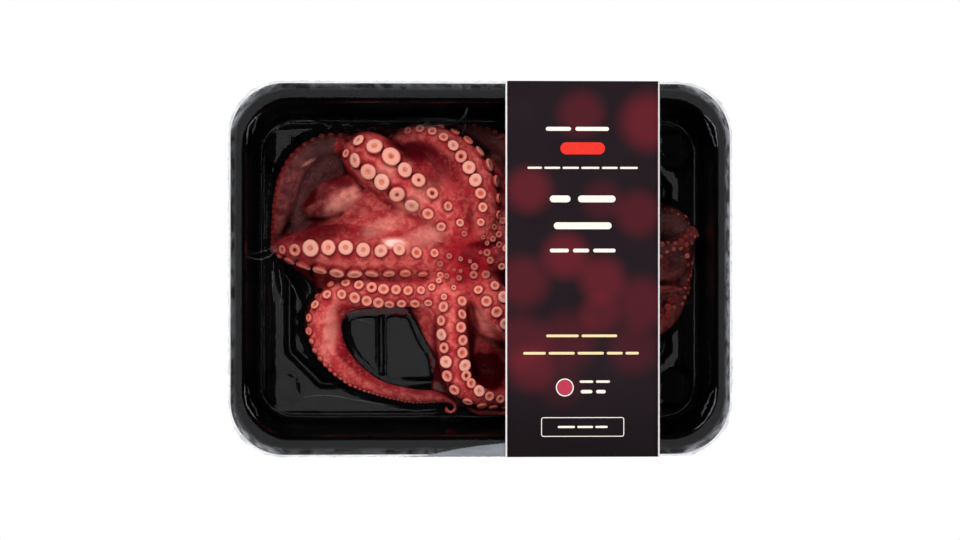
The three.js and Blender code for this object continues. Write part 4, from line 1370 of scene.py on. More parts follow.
def ring_points(half_x, half_y, corner, straight, steps=TRAY_STEPS):
    """A ring seen from above: corner is its radius, or with straight the cut of its corners."""
    found = []
    for turn, (sx, sy) in enumerate(((1, 1), (-1, 1), (-1, -1), (1, -1))):
        middle = (sx * (half_x - corner), sy * (half_y - corner))
        start, end = turn * math.pi / 2, (turn + 1) * math.pi / 2
        for step in range(steps["corner"] + 1):
            share = step / steps["corner"]
            if straight:
                x = math.cos(start) * (1 - share) + math.cos(end) * share
                y = math.sin(start) * (1 - share) + math.sin(end) * share
            else:
                x, y = math.cos(start + share * math.pi / 2), math.sin(start + share * math.pi / 2)
            found.append((middle[0] + corner * x, middle[1] + corner * y))
        count = steps["long"] if turn % 2 == 0 else steps["short"]
        run = (-sx * 2 * (half_x - corner), 0) if turn % 2 == 0 else (0, -sy * 2 * (half_y - corner))
        x, y = found[-1]
        found += [(x + run[0] * k / count, y + run[1] * k / count) for k in range(1, count)]
    return np.array(found)


def at_height(flat, z):
    return np.column_stack([flat, np.full(len(flat), z)])


def wall_ring(row, inward=0.0, steps=TRAY_STEPS):
    """A ring of the tray. row says how far it is set in along x and y, how much tighter, and z."""
    inset_x, inset_y, tighter, z = row
    half_x, half_y = TRAY_HALF[0] - inset_x - inward, TRAY_HALF[1] - inset_y - inward
    return at_height(ring_points(half_x, half_y, TRAY_CORNER - tighter, False, steps), z)


def channel_ring(grow, z):
    corner = CHANNEL_CORNER + grow * (2 - math.sqrt(2))
    return at_height(ring_points(CHANNEL_HALF[0] + grow, CHANNEL_HALF[1] + grow, corner, True), z)


def between(one, other, count):
    """Rings evenly spaced between two, without the first."""
    return [one + (other - one) * k / count for k in range(1, count + 1)]


tray_rings = [wall_ring(row) for row in FLANGE]
tray_rings += between(tray_rings[-1], wall_ring(FOOT_OF_WALL[0]), WALL_ROWS)
tray_rings += [wall_ring(row) for row in FOOT_OF_WALL[1:]]
channel_rings = [channel_ring(grow, TRAY_FLOOR - drop) for grow, drop in CHANNEL_PROFILE]
tray_rings += between(tray_rings[-1], channel_rings[0], FLOOR_ROWS) + channel_rings[1:]
tray_rings += [channel_rings[-1] * (share, share, 1) for share in (0.8, 0.6, 0.4, 0.2)]
print(len(tray_rings), "rings of", len(tray_rings[0]), "points")

# %% [markdown]
# ## Drawing the sheet
# One circle of points is the rim. Extruding its edges again and again, and moving the new points
# to the next ring, draws the sheet over the tray's form. Then the feet and the lugs are pressed in.

# %% Tray sheet
LUG = {"y": 49, "z": 19, "bulge": 1.3, "half_length": 7, "half_height": 9}
LUG_WALL = 84
FOOT_TOP = 8
SHEET = 0.6


def loop_edges(bm, verts):
    """The edges that join a closed row of points."""
    return [bm.edges.get(pair) for pair in zip(verts, verts[1:] + verts[:1])]


def pull_rings(bm, rings):
    """A sheet from rings of points: one circle, then extruded from ring to ring."""
    current = bmesh.ops.create_circle(bm, segments=len(rings[0]), radius=1)["verts"]
    for number, ring in enumerate(rings):
        if number:
            made = bmesh.ops.extrude_edge_only(bm, edges=loop_edges(bm, current))["geom"]
            fresh = {part for part in made if isinstance(part, bmesh.types.BMVert)}
            neighbours = [[edge.other_vert(vert) for edge in vert.link_edges] for vert in current]
            current = [next(vert for vert in beside if vert in fresh) for beside in neighbours]
        for vert, place in zip(current, ring):
            vert.co = Vector(place) * MM
    return loop_edges(bm, current)


def press_details(vert):
    """Presses the feet into the floor and the lugs into the end walls."""
    x, y, z = vert.co / MM
    if z < FOOT_TOP:
        into_foot = FOOT["radius"] + FOOT["edge"] - from_foot(x, y)
        share = float(eased(into_foot, 0, 2 * FOOT["edge"]))
        z = min(z, z * (1 - share) + (TRAY_FLOOR - FOOT["depth"]) * share)
    from_lug = ((abs(y) - LUG["y"]) / LUG["half_length"]) ** 2 + ((z - LUG["z"]) / LUG["half_height"]) ** 2
    if abs(x) > LUG_WALL and from_lug < 1:
        x -= math.copysign(LUG["bulge"] * math.sqrt(1 - from_lug), x)
    vert.co = Vector((x, y, z)) * MM


bm = bmesh.new()
inner_edges = pull_rings(bm, tray_rings)
bmesh.ops.holes_fill(bm, edges=inner_edges, sides=0)
for vert in bm.verts:
    press_details(vert)
face_up(bm)
tray_mesh = thick(bm, "tray", SHEET)
print("tray:", len(tray_mesh.polygons), "faces")

# %% [markdown]
# ## Tray rib
# One low rib crosses the floor inside the channel. It is a bar with sloped, rounded edges, and
# shows as two dark lines with a grey top between them.

# %% Tray rib
RIB_SINK = 0.2
RIB_BEVEL = 0.25

bm = bmesh.new()
for vert in bmesh.ops.create_cube(bm, size=1)["verts"]:
    top = vert.co.z > 0
    shrink = RIB["slope"] if top else 0
    half_width = RIB["width"] / 2 - shrink
    half_length = (RIB["high"] - RIB["low"]) / 2 - shrink
    vert.co = Vector((
        RIB["x"] + math.copysign(half_width, vert.co.x),
        (RIB["high"] + RIB["low"]) / 2 + math.copysign(half_length, vert.co.y),
        TRAY_FLOOR + (RIB["height"] if top else -RIB_SINK),
    )) * MM
bmesh.ops.bevel(
    bm, geom=bm.edges[:], offset=RIB_BEVEL * MM, segments=3, profile=0.5, affect="EDGES", material=-1)
rib_mesh = to_mesh(bm, "rib")
print("rib:", len(rib_mesh.polygons), "faces")

# %% [markdown]
# ## Tray material
# Black plastic sheet, slightly rough, with the faint streaks of rolled sheet and a little dust.

# %% Tray material
BLACK = srgb(3, 3, 4)
DUST = srgb(90, 90, 94)

tray_material, tree = start_material("tray_black")
streaks = speckle(tree, 2.5 * MM, detail=4, stretch=(0.25, 1, 1))
dust = fade(tree, speckle(tree, 0.7 * MM, detail=2), 0.72, 0.8, 0, 0.06)
finish_solid(tree, {
    "Base Color": mix(tree, dust, BLACK, DUST),
    "Roughness": fade(tree, streaks, 0.2, 0.8, 0.26, 0.36),
    "Normal": bump(tree, speckle(tree, 3 * MM, detail=3), 0.05 * MM),
    "Specular IOR Level": 0.03,
})
make_piece("tray_sheet", tray_mesh, tray_material, "tray")
make_piece("tray_rib", rib_mesh, tray_material, "tray")

# %% [markdown]
# ## Juice and painted shade
# A little dark juice stands in the narrow places between the arms, drawn up against them. Its
# dark red is also painted shade for these hollows, where shade falls between the arms.

# %% Juice and painted shade
JUICE_HALF = (84.0, 57.0)
JUICE_LEVEL = 4.6
JUICE_CLIMB = 0.12
JUICE_SHORE = 8.5
UNEVEN_SHORE = 2.5
JUICE_ZERO = 8


def juice_place(u, v):
    """A point of the juice, or one below the floor where there is none."""
    x, y = (2 * u - 1) * JUICE_HALF[0], (2 * v - 1) * JUICE_HALF[1]
    bridged = float(read_map(pockets, x, y))
    uneven = noise.noise(Vector((x, y, 3)) * 0.12)
    wet = bridged > JUICE_SHORE + UNEVEN_SHORE * uneven
    return Vector((x, y, JUICE_LEVEL + JUICE_CLIMB * (bridged - JUICE_ZERO) if wet else -1)) * MM


bm = bmesh.new()
lay_grid(bm, 200, 136, juice_place)
bmesh.ops.delete(bm, geom=[v for v in bm.verts if v.co.z < 0], context="VERTS")
bmesh.ops.recalc_face_normals(bm, faces=bm.faces)
juice_mesh = thick(bm, "juice_and_shade", 0.3)

# Dark red juice, which also serves as painted shade in the hollows between the arms.
juice_and_shade_material, tree = start_material("juice_and_shade")
finish_solid(tree, {
    "Base Color": mix(tree, speckle(tree, 6 * MM), srgb(40, 4, 7), srgb(72, 8, 12)),
    "Roughness": 0.12,
})
make_piece("juice_and_shade", juice_mesh, juice_and_shade_material, "octopus")

# %% [markdown]
# ## Film
# The film lies on the flange, follows the wall and the floor, and hugs the flesh. It is pulled
# from rings like the tray, and each ring inside the wall takes its height from the map made
# above. Fine wrinkles come from noise, and a few tents stand where the film was pinched between
# arms. Its outer edge is sawn, so it is ragged.

# %% Film sheet
FILM_LIFT = 0.3
FLANGE_GAP = 0.35
FOOT_GAP = 0.4
WALL_GAPS = 12
LAST_TIGHTER = 0.2
FILM_ROWS = 82
FILM_STEPS = {"corner": 20, "long": 236, "short": 150}
FILM_EDGE = (-0.8, -0.8, 0, 33.6)
LEAST_LIFT = 0.14
SPANS = (0.15, 1.5)
WRINKLE_HEIGHT = 0.13
RAGGED = {"drop": 0.4, "down": 0.9, "out": 0.007}
TENT_FALL = 0.8
PINCH = {"middle": (-22, -4), "folds": 26, "drift": 0.05, "height": 0.7}
TENTS = [
    {"from": (-46.5, 52), "to": (-47.5, 61), "height": 9, "width": 0.9},
    {"from": (-6, 55.5), "to": (-22, 55), "height": 7, "width": 1.2},
    {"from": (-6, 55), "to": (-5, 62), "height": 8, "width": 0.9},
    {"from": (-78, 7), "to": (-86, 4), "height": 8, "width": 1.0},
    {"from": (-79, 8), "to": (-76, -9), "height": 6, "width": 2.4},
    {"from": (-74, 2), "to": (-68, -10), "height": 7, "width": 2.0},
    {"from": (-8, -50), "to": (-16, -57), "height": 5, "width": 1.2},
    {"from": (-70, 49), "to": (-60, 56), "height": 4, "width": 1.0},
    {"from": (-60, 56), "to": (-52, 55), "height": 4, "width": 1.0},
]


def tent_height(x, y):
    """How much the tents lift the film at a point, in millimetres."""
    lift = 0.0
    for tent in TENTS:
        start, end = Vector(tent["from"]), Vector(tent["to"])
        run = end - start
        share = max(0.0, min(1.0, (Vector((x, y)) - start).dot(run) / run.length_squared))
        away = (Vector((x, y)) - start - run * share).length
        lift = max(lift, tent["height"] * (1 - TENT_FALL * share) * math.exp(-away / tent["width"]))
    return lift


def pinch(x, y, spanned):
    """Fine folds that run away from the contents, where the film spans from them to the floor."""
    around = math.atan2(y - PINCH["middle"][1], x - PINCH["middle"][0])
    circle = (math.cos(around) * PINCH["folds"], math.sin(around) * PINCH["folds"])
    fold = noise.noise(Vector((*circle, math.hypot(x, y) * PINCH["drift"])))
    return PINCH["height"] * spanned * fold


def film_ring(points):
    """A ring inside the wall, laid on the contents with its wrinkles."""
    heights = map_under(stretched, points)
    spans = eased(heights - map_under(covered, points), *SPANS)
    laid = []
    for (x, y, _), height, spanned in zip(points, heights, spans):
        wrinkle = noise.noise(Vector((x, y, 0)) * 0.45) + 0.5 * noise.noise(Vector((x, y, 5)) * 1.3)
        lift = FILM_LIFT + WRINKLE_HEIGHT * wrinkle + pinch(x, y, spanned) + tent_height(x, y)
        laid.append((x, y, height + max(lift, LEAST_LIFT)))
    return np.array(laid)


def film_wall(row, inward, lift=0.0):
    x, y, tighter, z = row
    return wall_ring((x, y, tighter, z + lift), inward, FILM_STEPS)


print("film floor at the middle of the channel:", round(float(film_floor(74.0, 0.0)), 2), "mm")

# %% [markdown]
# ## Pulling the film
# The film's rings follow the flange and the wall with a small gap, and then run inwards over the
# floor and the contents, until the last one is a line down the middle, which is welded.

# %% Film pulled from its rings
outer = film_wall(FILM_EDGE, 0)
for point in outer:
    ragged = noise.noise(Vector(point) * 0.35) + 0.7 * noise.noise(Vector(point) * 1.7)
    point[:2] *= 1 + RAGGED["out"] * ragged
    point[2] -= RAGGED["drop"] + RAGGED["down"] * ragged
film_rings = [outer] + [film_wall(row, 0, FILM_LIFT) for row in FLANGE[3:6]]
film_rings += [film_wall(row, FILM_LIFT + FLANGE_GAP) for row in FLANGE[6:]]
film_rings += between(film_rings[-1], film_wall(FOOT_OF_WALL[0], FILM_LIFT + FLANGE_GAP), WALL_GAPS)
film_rings += [film_wall(row, FILM_LIFT + FOOT_GAP) for row in FOOT_OF_WALL[1:5]]
foot_x, foot_y, foot_tighter, foot_z = FOOT_OF_WALL[5]
for inset in np.linspace(0, TRAY_HALF[1] - foot_y - FILM_LIFT, FILM_ROWS):
    tighter = min(foot_tighter + inset, TRAY_CORNER - LAST_TIGHTER)
    floor_ring = film_wall((foot_x + inset, foot_y + inset, tighter, foot_z), FILM_LIFT)
    film_rings.append(floor_ring)
film_rings[-1][:, 1] = 0
film_rings[-FILM_ROWS:] = [film_ring(ring) for ring in film_rings[-FILM_ROWS:]]

bm = bmesh.new()
pull_rings(bm, film_rings)
bmesh.ops.remove_doubles(bm, verts=[v for v in bm.verts if abs(v.co.y) < 1e-6], dist=1e-6)
face_up(bm)
film_mesh = to_mesh(bm, "film")
print("film:", len(film_mesh.polygons), "faces")

# %% [markdown]
# ## Where the film is milky, wet or flat
# The film is milky in a narrow band along its outer edge, and in a wider one at the corners. Over
# the contents it clings to something wet. On the floor of the open loop it is drawn flat.

# %% Film attributes
MILKY_BAND = {"usual": 0.7, "corner": 1.3, "right": 0.5, "corner_reach": 9, "right_x": (88, 92)}
CLINGING_HEIGHT = (4, 6)

film_points = coordinates(film_mesh) / MM
out_x, out_y = np.abs(film_points[:, 0]), np.abs(film_points[:, 1])
corner_x = np.maximum(out_x - TRAY_HALF[0] + TRAY_CORNER, 0)
corner_y = np.maximum(out_y - TRAY_HALF[1] + TRAY_CORNER, 0)
straight = np.minimum(TRAY_HALF[0] - out_x, TRAY_HALF[1] - out_y)
rounded = TRAY_CORNER - np.hypot(corner_x, corner_y)
inside_edge = np.where((corner_x > 0) & (corner_y > 0), rounded, straight)
at_corner = eased(np.minimum(corner_x, corner_y), 0, MILKY_BAND["corner_reach"])
at_right = eased(film_points[:, 0], *MILKY_BAND["right_x"])
band = MILKY_BAND["usual"] + MILKY_BAND["corner"] * at_corner + MILKY_BAND["right"] * at_right
set_attribute(film_mesh, "edge", faded(inside_edge, 0.0, band))
set_attribute(film_mesh, "clinging", eased(map_under(contents, film_points), *CLINGING_HEIGHT))
set_attribute(film_mesh, "drawn_flat", map_under(drawn_flat, film_points))
print("milky edge up to", round(float(band.max()), 1), "mm wide")

# %% [markdown]
# ## Film material
# Clear film is seen only by what it mirrors. A Fresnel factor mixes a plain see-through shader
# with a glossy one, so the film mirrors little when faced and more at a slant. Where it clings
# to wet flesh there is no air below it, so it mirrors less than over the dry tray.

# %% Film material
MOST_MIRRORED = 0.075
MIRRORED_WET = 0.2
MILK = srgb(176, 178, 184)
MOST_MILK = 0.75


def milky_film(tree, clear_share, color):
    """Clear film with a share of milky film, as where it is creased or sawn."""
    crinkle = speckle(tree, 5 * MM, detail=3, distortion=0.6)
    curved = add(tree, "NewGeometry").outputs["Normal"]
    flatter = {0: attribute(tree, "drawn_flat"), 4: curved, 5: (0, 0, 1)}
    upright = add(tree, "Mix", flatter, data_type="VECTOR").outputs[1]
    normal = bump(tree, crinkle, 0.09 * MM, upright)
    gloss = add(tree, "BsdfGlossy", {"Color": (0.96, 0.97, 1, 1), "Roughness": 0.1, "Normal": normal})
    clear = add(tree, "BsdfTransparent", {"Color": (0.985, 0.985, 0.985, 1)})
    facing = add(tree, "Fresnel", {"IOR": 1.42, "Normal": normal}).outputs["Fac"]
    facing = maths(tree, "MINIMUM", facing, MOST_MIRRORED)
    facing = times(tree, facing, fade(tree, attribute(tree, "clinging"), 0, 1, 1, MIRRORED_WET))
    film = add(tree, "MixShader", {0: facing, 1: clear.outputs[0], 2: gloss.outputs[0]})
    milky = add(tree, "BsdfPrincipled", {"Base Color": color, "Roughness": 0.4, "Normal": normal})
    return add(tree, "MixShader", {0: clear_share, 1: milky.outputs[0], 2: film.outputs[0]}).outputs[0]


def strands_round(tree):
    """Noise drawn out along the rim: it reads the way out from the middle and how far out."""
    around = add(tree, "VectorMath", {0: place_of(tree, (1, 1, 0))}, operation="NORMALIZE").outputs[0]
    across = add(tree, "CombineXYZ", {"Z": times(tree, attribute(tree, "edge"), 0.12)}).outputs[0]
    place = add(tree, "VectorMath", {0: around, 1: across}, operation="ADD").outputs[0]
    inputs = {"Vector": place, "Scale": 18, "Detail": 5, "Roughness": 0.62}
    return add(tree, "TexNoise", inputs).outputs["Fac"]


film_material, tree = start_material("film_clear")
shreds = fade(tree, strands_round(tree), 0.4, 0.62, 0.2, 1)
milkiness = times(tree, times(tree, attribute(tree, "edge"), shreds), MOST_MILK)
finish_material(tree, milky_film(tree, maths(tree, "SUBTRACT", 1.0, milkiness), MILK))
make_piece("film_sheet", film_mesh, film_material, "film")

# %% [markdown]
# ## Folds in the film, with painted glints
# Where clear film is pinched it turns milky, and shows as thin pale lines. These milky strips are
# also painted highlights: they stand for the glints along the film's creases, on the tray's lugs and
# at the foot of the wall. Each fold is a narrow strip laid along a curve on the film, tapered at
# both ends and arched a little.

# %% Film folds and painted glints
# Curves of the folds. Their milky strips are also painted highlights: glints along creases, on the lugs and
# at the wall's foot.
FOLDS = [
    ([(-83.5, 59.2), (-87.9, 54), (-88.9, 47)], 0.45),
    ([(-84.6, 57.6), (-86.6, 53), (-88, 47.6)], 0.35),
    ([(-89.6, -43.6), (-88.9, -51), (-85.1, -57.2)], 0.45),
    ([(-88.8, -44.6), (-87.2, -51), (-84.8, -56)], 0.35),
    ([(84.6, 59.2), (89, 54), (90.2, 46)], 0.5),
    ([(85.2, 57.2), (87.6, 52.4), (89.4, 46.4)], 0.4),
    ([(89.6, -45), (88.8, -52), (85, -58.4)], 0.5),
    ([(88.8, -46), (87.2, -51.6), (84.6, -56.6)], 0.4),
    ([(-83.3, 49.8), (-79.4, 54.9), (-68.9, 58), (-61.9, 57), (-55.7, 54.5)], 0.45),
    ([(-89, 4.6), (-83.9, 3.9), (-77.4, 7.8)], 0.5),
    ([(-88.6, 5.6), (-82, 7.6), (-78, 9)], 0.3),
    ([(-47.8, 60.4), (-47.8, 56.8), (-46.6, 52.9)], 0.4),
    ([(-46.6, 53), (-50, 54.6), (-54, 55.6)], 0.25),
    ([(-46.4, 53), (-43, 54.4), (-38, 54.4)], 0.25),
    ([(-5.3, 60.4), (-7.6, 57.6), (-12.6, 55.8), (-23.1, 54.4)], 0.5),
    ([(-5, 60.2), (-5.4, 56), (-7, 51.6)], 0.3),
    ([(-4.8, 62), (-6, 59.4), (-8.6, 57.4)], 1.1),
    ([(-8, 58), (-14, 58.6), (-21.8, 58.4), (-27, 56.6)], 0.8),
    ([(-9, 57.2), (-16, 57.6), (-24, 56.4), (-30, 54)], 0.5),
    ([(-10, 56.6), (-18, 56.2), (-26, 54.6)], 0.4),
    ([(-52.2, -17.4), (-46.4, -16.4), (-40.5, -18.4)], 0.25),
    ([(-51, -18.6), (-46, -20), (-41, -22)], 0.2),
    ([(-69.8, -50.3), (-58.1, -49.6), (-44.4, -51.9), (-30.7, -54)], 0.25),
    ([(-76, -2), (-72, -8), (-70, -14)], 0.2),
    ([(-78, 0), (-77, -8), (-78, -16)], 0.2),
    ([(-80, 3), (-80.5, -5), (-80, -14)], 0.25),
]
FOLD_LIFT = 0.1
FOLD_ARCH = 0.08
FOLD_WANDER = 0.25
FOLD_CELLS = (28, 2)
FOLD_STEP = 0.02

film_tree = ray_tree(film_mesh)


def fold_curve(points, share):
    """A place along a fold's smooth curve."""
    return along(points, share * (len(points) - 1))


def fold_place(points, width, share, across):
    """A point of a fold on the film: share runs along it, and across from -1 to 1 over it."""
    x, y = fold_curve(points, share)
    ahead = fold_curve(points, min(share + FOLD_STEP, 1)) - fold_curve(points, max(share - FOLD_STEP, 0))
    side = Vector((ahead[1], -ahead[0])).normalized()
    uneven = 1 + 0.6 * noise.noise(Vector((x, y, 0)) * 1.1)
    half = width / 2 * math.sin(math.pi * share) ** 0.6 * uneven
    aside = across * half + FOLD_WANDER * noise.noise(Vector((x, y, width)) * 0.8)
    x, y = x + side.x * aside, y + side.y * aside
    return Vector((x, y, height_below(film_tree, x, y) + FOLD_LIFT + FOLD_ARCH * (1 - abs(across)))) * MM


bm = bmesh.new()
for points, width in FOLDS:
    lay_grid(bm, *FOLD_CELLS, lambda u, v: fold_place(points, width, u, 2 * v - 1))
bmesh.ops.recalc_face_normals(bm, faces=bm.faces)
fold_glint_mesh = thick(bm, "folds", 0.05, offset=0)
fold_glint_material, tree = start_material("film_fold_glints")
# Painted highlight: the pale milky share of the strips.
broken = fade(tree, speckle(tree, 1.2 * MM, detail=3), 0.35, 0.65, 0.95, 0.55)
finish_material(tree, milky_film(tree, broken, srgb(130, 132, 138)))
make_piece("film_fold_glints", fold_glint_mesh, fold_glint_material, "film")

# %% [markdown]
# ## A folded edge
# Along part of the front the film's edge is folded back over the flange. It was sawn off, so its
# edge has teeth.

# %% Film flap
FLAP_EDGE = [(-32, -71.4), (-21.3, -71.0), (-15.6, -69.8), (-8, -68.3), (-0.4, -67.2), (12, -66.0)]
FLAP_LOW = -71.3
FLAP_LEVEL = 34.0
FLAP_CELLS = (140, 6)
TOOTH = {"width": 0.9, "depth": 0.3}
LEAST_FLAP = 0.05
TUCK = 0.5


def flap_place(u, v):
    """A point of the flap: u runs along the front and v from the fold to the sawn edge."""
    x = FLAP_EDGE[0][0] + u * (FLAP_EDGE[-1][0] - FLAP_EDGE[0][0])
    high = float(np.interp(x, [p[0] for p in FLAP_EDGE], [p[1] for p in FLAP_EDGE]))
    high += TOOTH["depth"] * abs((x / TOOTH["width"]) % 2 - 1)
    low = FLAP_LOW + 0.15 * noise.noise(Vector((x, 0, 0)) * 0.5)
    y = low + v * max(high - low, LEAST_FLAP)
    z = FLAP_LEVEL + 0.12 * noise.noise(Vector((x, y, 0)) * 0.7) - (TUCK if v < 0.1 else 0)
    return Vector((x, y, z)) * MM


bm = bmesh.new()
lay_grid(bm, *FLAP_CELLS, flap_place)
bmesh.ops.recalc_face_normals(bm, faces=bm.faces)
flap_mesh = thick(bm, "flap", 0.06, offset=0)
flap_material, tree = start_material("film_flap")
streaks = speckle(tree, 3 * MM, detail=4, stretch=(0.2, 1, 1))
finish_material(tree, milky_film(tree, fade(tree, streaks, 0.3, 0.7, 0.15, 0.4), srgb(128, 131, 138)))
make_piece("film_flap", flap_mesh, flap_material, "film")

# %% [markdown]
# ## Sleeve
# The sleeve is a band of thin board round the pack, with softly bent corners. Its outline is
# drawn once, extruded along the pack and given the board's thickness.

# %% Sleeve board
SLEEVE = {"low": 9.2, "high": 67.9, "board": 0.45, "half_top": 71.7, "half_bottom": 62.3,
          "top": 35.1, "bottom": 0.1, "bend": 1.2}
SLEEVE_STEPS = 24
BEND_POINTS = 7
TOP_HALF_Z = 0.03


def bent_corner(corner, before, after):
    """Points round a bent corner of the band, in y and z."""
    corner, before, after = Vector(corner), Vector(before), Vector(after)
    start = corner + (before - corner).normalized() * SLEEVE["bend"]
    end = corner + (after - corner).normalized() * SLEEVE["bend"]
    return [start.lerp(corner, t).lerp(corner.lerp(end, t), t) for t in np.linspace(0, 1, BEND_POINTS)]


corners = [(SLEEVE["half_top"], SLEEVE["top"]), (-SLEEVE["half_top"], SLEEVE["top"]),
           (-SLEEVE["half_bottom"], SLEEVE["bottom"]), (SLEEVE["half_bottom"], SLEEVE["bottom"])]
outline = []
for k, corner in enumerate(corners):
    outline += bent_corner(corner, corners[k - 1], corners[(k + 1) % 4])

bm = bmesh.new()
loop = [bm.verts.new(Vector((SLEEVE["low"], y, z)) * MM) for y, z in outline]
edges = [bm.edges.new(pair) for pair in zip(loop, loop[1:] + loop[:1])]
step = (SLEEVE["high"] - SLEEVE["low"]) / SLEEVE_STEPS * MM
for _ in range(SLEEVE_STEPS):
    made = bmesh.ops.extrude_edge_only(bm, edges=edges)["geom"]
    fresh = [part for part in made if isinstance(part, bmesh.types.BMVert)]
    bmesh.ops.translate(bm, verts=fresh, vec=(step, 0, 0))
    edges = [part for part in made if isinstance(part, bmesh.types.BMEdge)]
face_up(bm, above=TOP_HALF_Z)
sleeve_mesh = thick(bm, "sleeve", SLEEVE["board"])
print("sleeve outline:", len(outline), "points")

# %% [markdown]
# ## Sleeve print
# The print is a dark plum ground with soft maroon discs, and the board's colour is darker towards
# the front. Each disc is a fade over the distance from its middle. The board's white core shows at
# the two cut edges.

# %% Sleeve print
SOFT_DISCS = [
    (38, 59, 8, 0.55), (64, 56, 10, 0.9), (18, 30, 8, 0.8), (60, 21, 8, 0.55), (46, 26, 7, 0.3),
    (32, 5, 8, 0.9), (46, -4, 8, 0.8), (16, -5, 9, 0.6), (45, -17, 7, 0.6), (61, -13, 9, 0.55),
    (15, -28, 10, 0.5), (33, -27, 10, 0.4), (58, -30, 9, 0.35), (30, -44, 8, 0.2), (19, -38, 8, 0.6),
]
WHITE_EDGE = 0.62
SLEEVE_MIDDLE = (SLEEVE["low"] + SLEEVE["high"]) / 2
SLEEVE_HALF = (SLEEVE["high"] - SLEEVE["low"]) / 2
PLUM, DARK_PLUM, MAROON = srgb(34, 24, 29), srgb(24, 18, 22), srgb(98, 28, 38)
BOARD_WHITE = srgb(226, 223, 221)
DUSK_Y = (-70 * MM, -35 * MM)
DUSK = 0.6

sleeve_material, tree = start_material("sleeve_print")
parts = add(tree, "SeparateXYZ", {"Vector": add(tree, "TexCoord").outputs["Object"]}).outputs
flat_place = add(tree, "CombineXYZ", {"X": parts["X"], "Y": parts["Y"]}).outputs[0]
glow = 0.0
for x, y, radius, strength in SOFT_DISCS:
    inputs = {0: flat_place, 1: Vector((x, y, 0)) * MM}
    away = add(tree, "VectorMath", inputs, operation="DISTANCE").outputs["Value"]
    glow = maths(tree, "ADD", glow, fade(tree, away, radius * 0.5 * MM, radius * 1.5 * MM, strength, 0))
ground = mix(tree, speckle(tree, 14 * MM, detail=1), DARK_PLUM, PLUM)
printed = mix(tree, times(tree, glow, 0.8, clamp=True), ground, MAROON)
dusk = fade(tree, parts["Y"], *DUSK_Y, DUSK, 1)
dusk_color = add(tree, "CombineColor", {0: dusk, 1: dusk, 2: dusk}).outputs[0]
printed = mix(tree, 1.0, printed, dusk_color, "MULTIPLY")
from_middle = maths(tree, "ABSOLUTE", maths(tree, "SUBTRACT", parts["X"], SLEEVE_MIDDLE * MM))
at_edge = maths(tree, "GREATER_THAN", from_middle, (SLEEVE_HALF - WHITE_EDGE) * MM)
finish_solid(tree, {
    "Base Color": mix(tree, at_edge, printed, BOARD_WHITE),
    "Roughness": 0.5,
    "Normal": bump(tree, speckle(tree, 0.8 * MM, detail=3), 0.03 * MM),
    "Specular IOR Level": 0.1,
})
make_piece("sleeve_board", sleeve_mesh, sleeve_material, "sleeve")

# %% [markdown]
# ## Marks on the sleeve
# Plain marks stand where a pack has its words: rows of bars, a ring with a disc in it, a red
# bar and a rounded frame. They are drawn as flat outlines and lie a hair above the board.

# %% Shapes of the marks
MARK_LIFT = 0.03
MARK_THICKNESS = 0.05
ROUND_STEPS = 6
FULLY_ROUND = 0.499
QUARTERS = ((1, 1), (-1, 1), (-1, -1), (1, -1))


def rounded_outline(bm, x, y, width, height, radius):
    """A closed flat loop of points: a rectangle with round corners."""
    verts = []
    for turn, (sx, sy) in enumerate(QUARTERS):
        for step in range(ROUND_STEPS + 1):
            angle = (turn + step / ROUND_STEPS) * math.pi / 2
            px = x + sx * (width / 2 - radius) + radius * math.cos(angle)
            py = y + sy * (height / 2 - radius) + radius * math.sin(angle)
            verts.append(bm.verts.new(Vector((px, py, SLEEVE["top"] + MARK_LIFT)) * MM))
    return [bm.edges.new(pair) for pair in zip(verts, verts[1:] + verts[:1])]


def add_bar(bm, x, y, width, height):
    edges = rounded_outline(bm, x, y, width, height, height * FULLY_ROUND)
    bmesh.ops.holes_fill(bm, edges=edges, sides=0)


def add_frame(bm, x, y, width, height, radius, line):
    outer = rounded_outline(bm, x, y, width, height, radius)
    inner = rounded_outline(bm, x, y, width - 2 * line, height - 2 * line, radius - line)
    bmesh.ops.bridge_loops(bm, edges=outer + inner)


def add_words(bm, x, y, width, height, words, seed):
    """A line of bars with gaps between, as words look from afar."""
    draw = random.Random(seed)
    gap = height * 1.1
    shares = [draw.uniform(0.6, 1.5) for _ in range(words)]
    unit = (width - gap * (words - 1)) / sum(shares)
    left = x - width / 2
    for share in shares:
        add_bar(bm, left + share * unit / 2, y, share * unit, height)
        left += share * unit + gap


def make_marks(name, bm, color):
    bmesh.ops.recalc_face_normals(bm, faces=bm.faces)
    for face in bm.faces:
        if face.normal.z < 0:
            face.normal_flip()
    mesh = thick(bm, name, MARK_THICKNESS)
    material, tree = start_material(name)
    worn = fade(tree, speckle(tree, 0.6 * MM), 0.45, 0.85, 0, 0.2)
    finish_solid(tree, {
        "Base Color": mix(tree, worn, color, srgb(150, 120, 116)),
        "Roughness": 0.5,
        "Specular IOR Level": 0.1,
    })
    make_piece(name, mesh, material, "sleeve", smooth=False)


print("marks lie", MARK_LIFT, "mm over the board")

# %% [markdown]
# ## Rows of marks
# Each line of words is given by its place beside the sleeve's middle, its width and height, how
# many words it has, and the seed of the draw that sets their lengths.

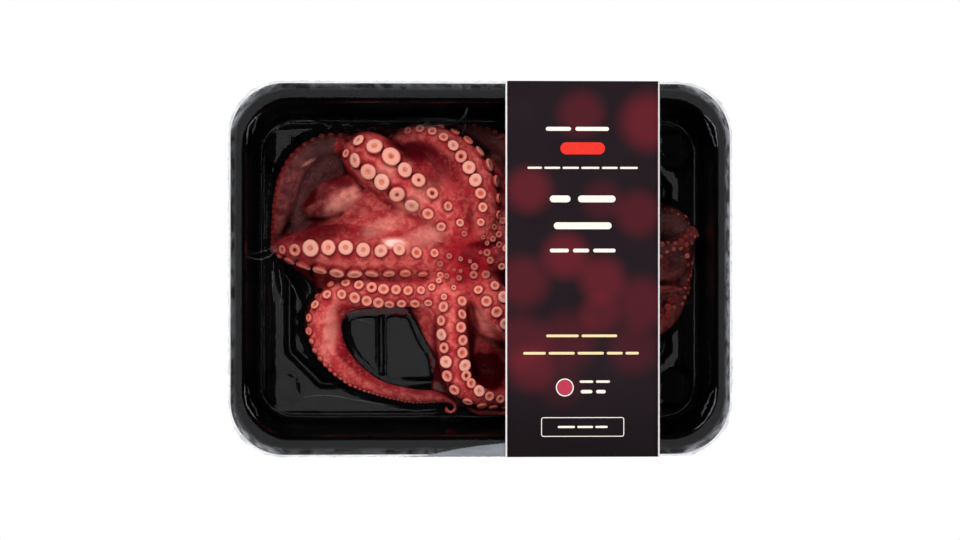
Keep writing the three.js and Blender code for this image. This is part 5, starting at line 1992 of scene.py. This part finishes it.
# %% Sleeve marks
LIGHT_WORDS = [
    (-2, 53.2, 24, 1.5, 2, 3), (0, 38.4, 42, 0.8, 6, 5), (0, 26.6, 25, 2.6, 2, 8), (0, 16.4, 22, 2.6, 1, 2),
    (0, 7, 25, 1.4, 3, 4), (4.6, -42.8, 11.5, 0.9, 2, 6), (4, -46.6, 9.5, 1.3, 2, 7), (0, -60, 19, 0.8, 3, 9),
]
YELLOW_WORDS = [(-0.4, -25.4, 27, 1.0, 2, 11), (-0.6, -32, 44, 1.0, 5, 12)]
ROSE_DISC = {"x": -6.8, "y": -45, "size": 5.8, "ring": 6.8, "line": 0.4, "margin": 0.001}
FRAME = {"y": -60, "width": 31.6, "height": 7.4, "corner": 0.9, "line": 0.3}
RED_BAR = {"y": 45.8, "width": 17, "height": 4.6}


def add_lines(bm, lines):
    for x, y, width, height, words, seed in lines:
        add_words(bm, SLEEVE_MIDDLE + x, y, width, height, words, seed)


disc_x, disc_y = SLEEVE_MIDDLE + ROSE_DISC["x"], ROSE_DISC["y"]
bm = bmesh.new()
add_lines(bm, LIGHT_WORDS)
ring, size, margin = ROSE_DISC["ring"], ROSE_DISC["size"], ROSE_DISC["margin"]
add_frame(bm, disc_x, disc_y, ring, ring, ring / 2 - margin, ROSE_DISC["line"])
add_frame(bm, SLEEVE_MIDDLE, FRAME["y"], FRAME["width"], FRAME["height"], FRAME["corner"], FRAME["line"])
make_marks("sleeve_light_marks", bm, srgb(232, 222, 212))

bm = bmesh.new()
add_lines(bm, YELLOW_WORDS)
make_marks("sleeve_yellow_marks", bm, srgb(222, 204, 158))

bm = bmesh.new()
add_bar(bm, SLEEVE_MIDDLE, RED_BAR["y"], RED_BAR["width"], RED_BAR["height"])
make_marks("sleeve_red_mark", bm, srgb(214, 46, 36))

bm = bmesh.new()
edges = rounded_outline(bm, disc_x, disc_y, size, size, size / 2 - margin)
bmesh.ops.holes_fill(bm, edges=edges, sides=0)
make_marks("sleeve_rose_mark", bm, srgb(168, 52, 72))

# %% [markdown]
# ## Floor
# A plain white floor under the pack, which isn't part of the object. It glows evenly, like a
# light table, so the pack throws no shadow on it.

# %% Floor
bm = bmesh.new()
bmesh.ops.create_grid(bm, x_segments=1, y_segments=1, size=2)
floor_mesh = to_mesh(bm, "floor")
floor_material, tree = start_material("floor")
white = add(tree, "Emission", {"Color": (1, 1, 1, 1), "Strength": 1.0})
finish_material(tree, white.outputs[0])
floor_mesh.materials.append(floor_material)
floor = bpy.data.objects.new("floor", floor_mesh)
bpy.context.scene.collection.objects.link(floor)
print("floor:", len(floor_mesh.polygons), "face")
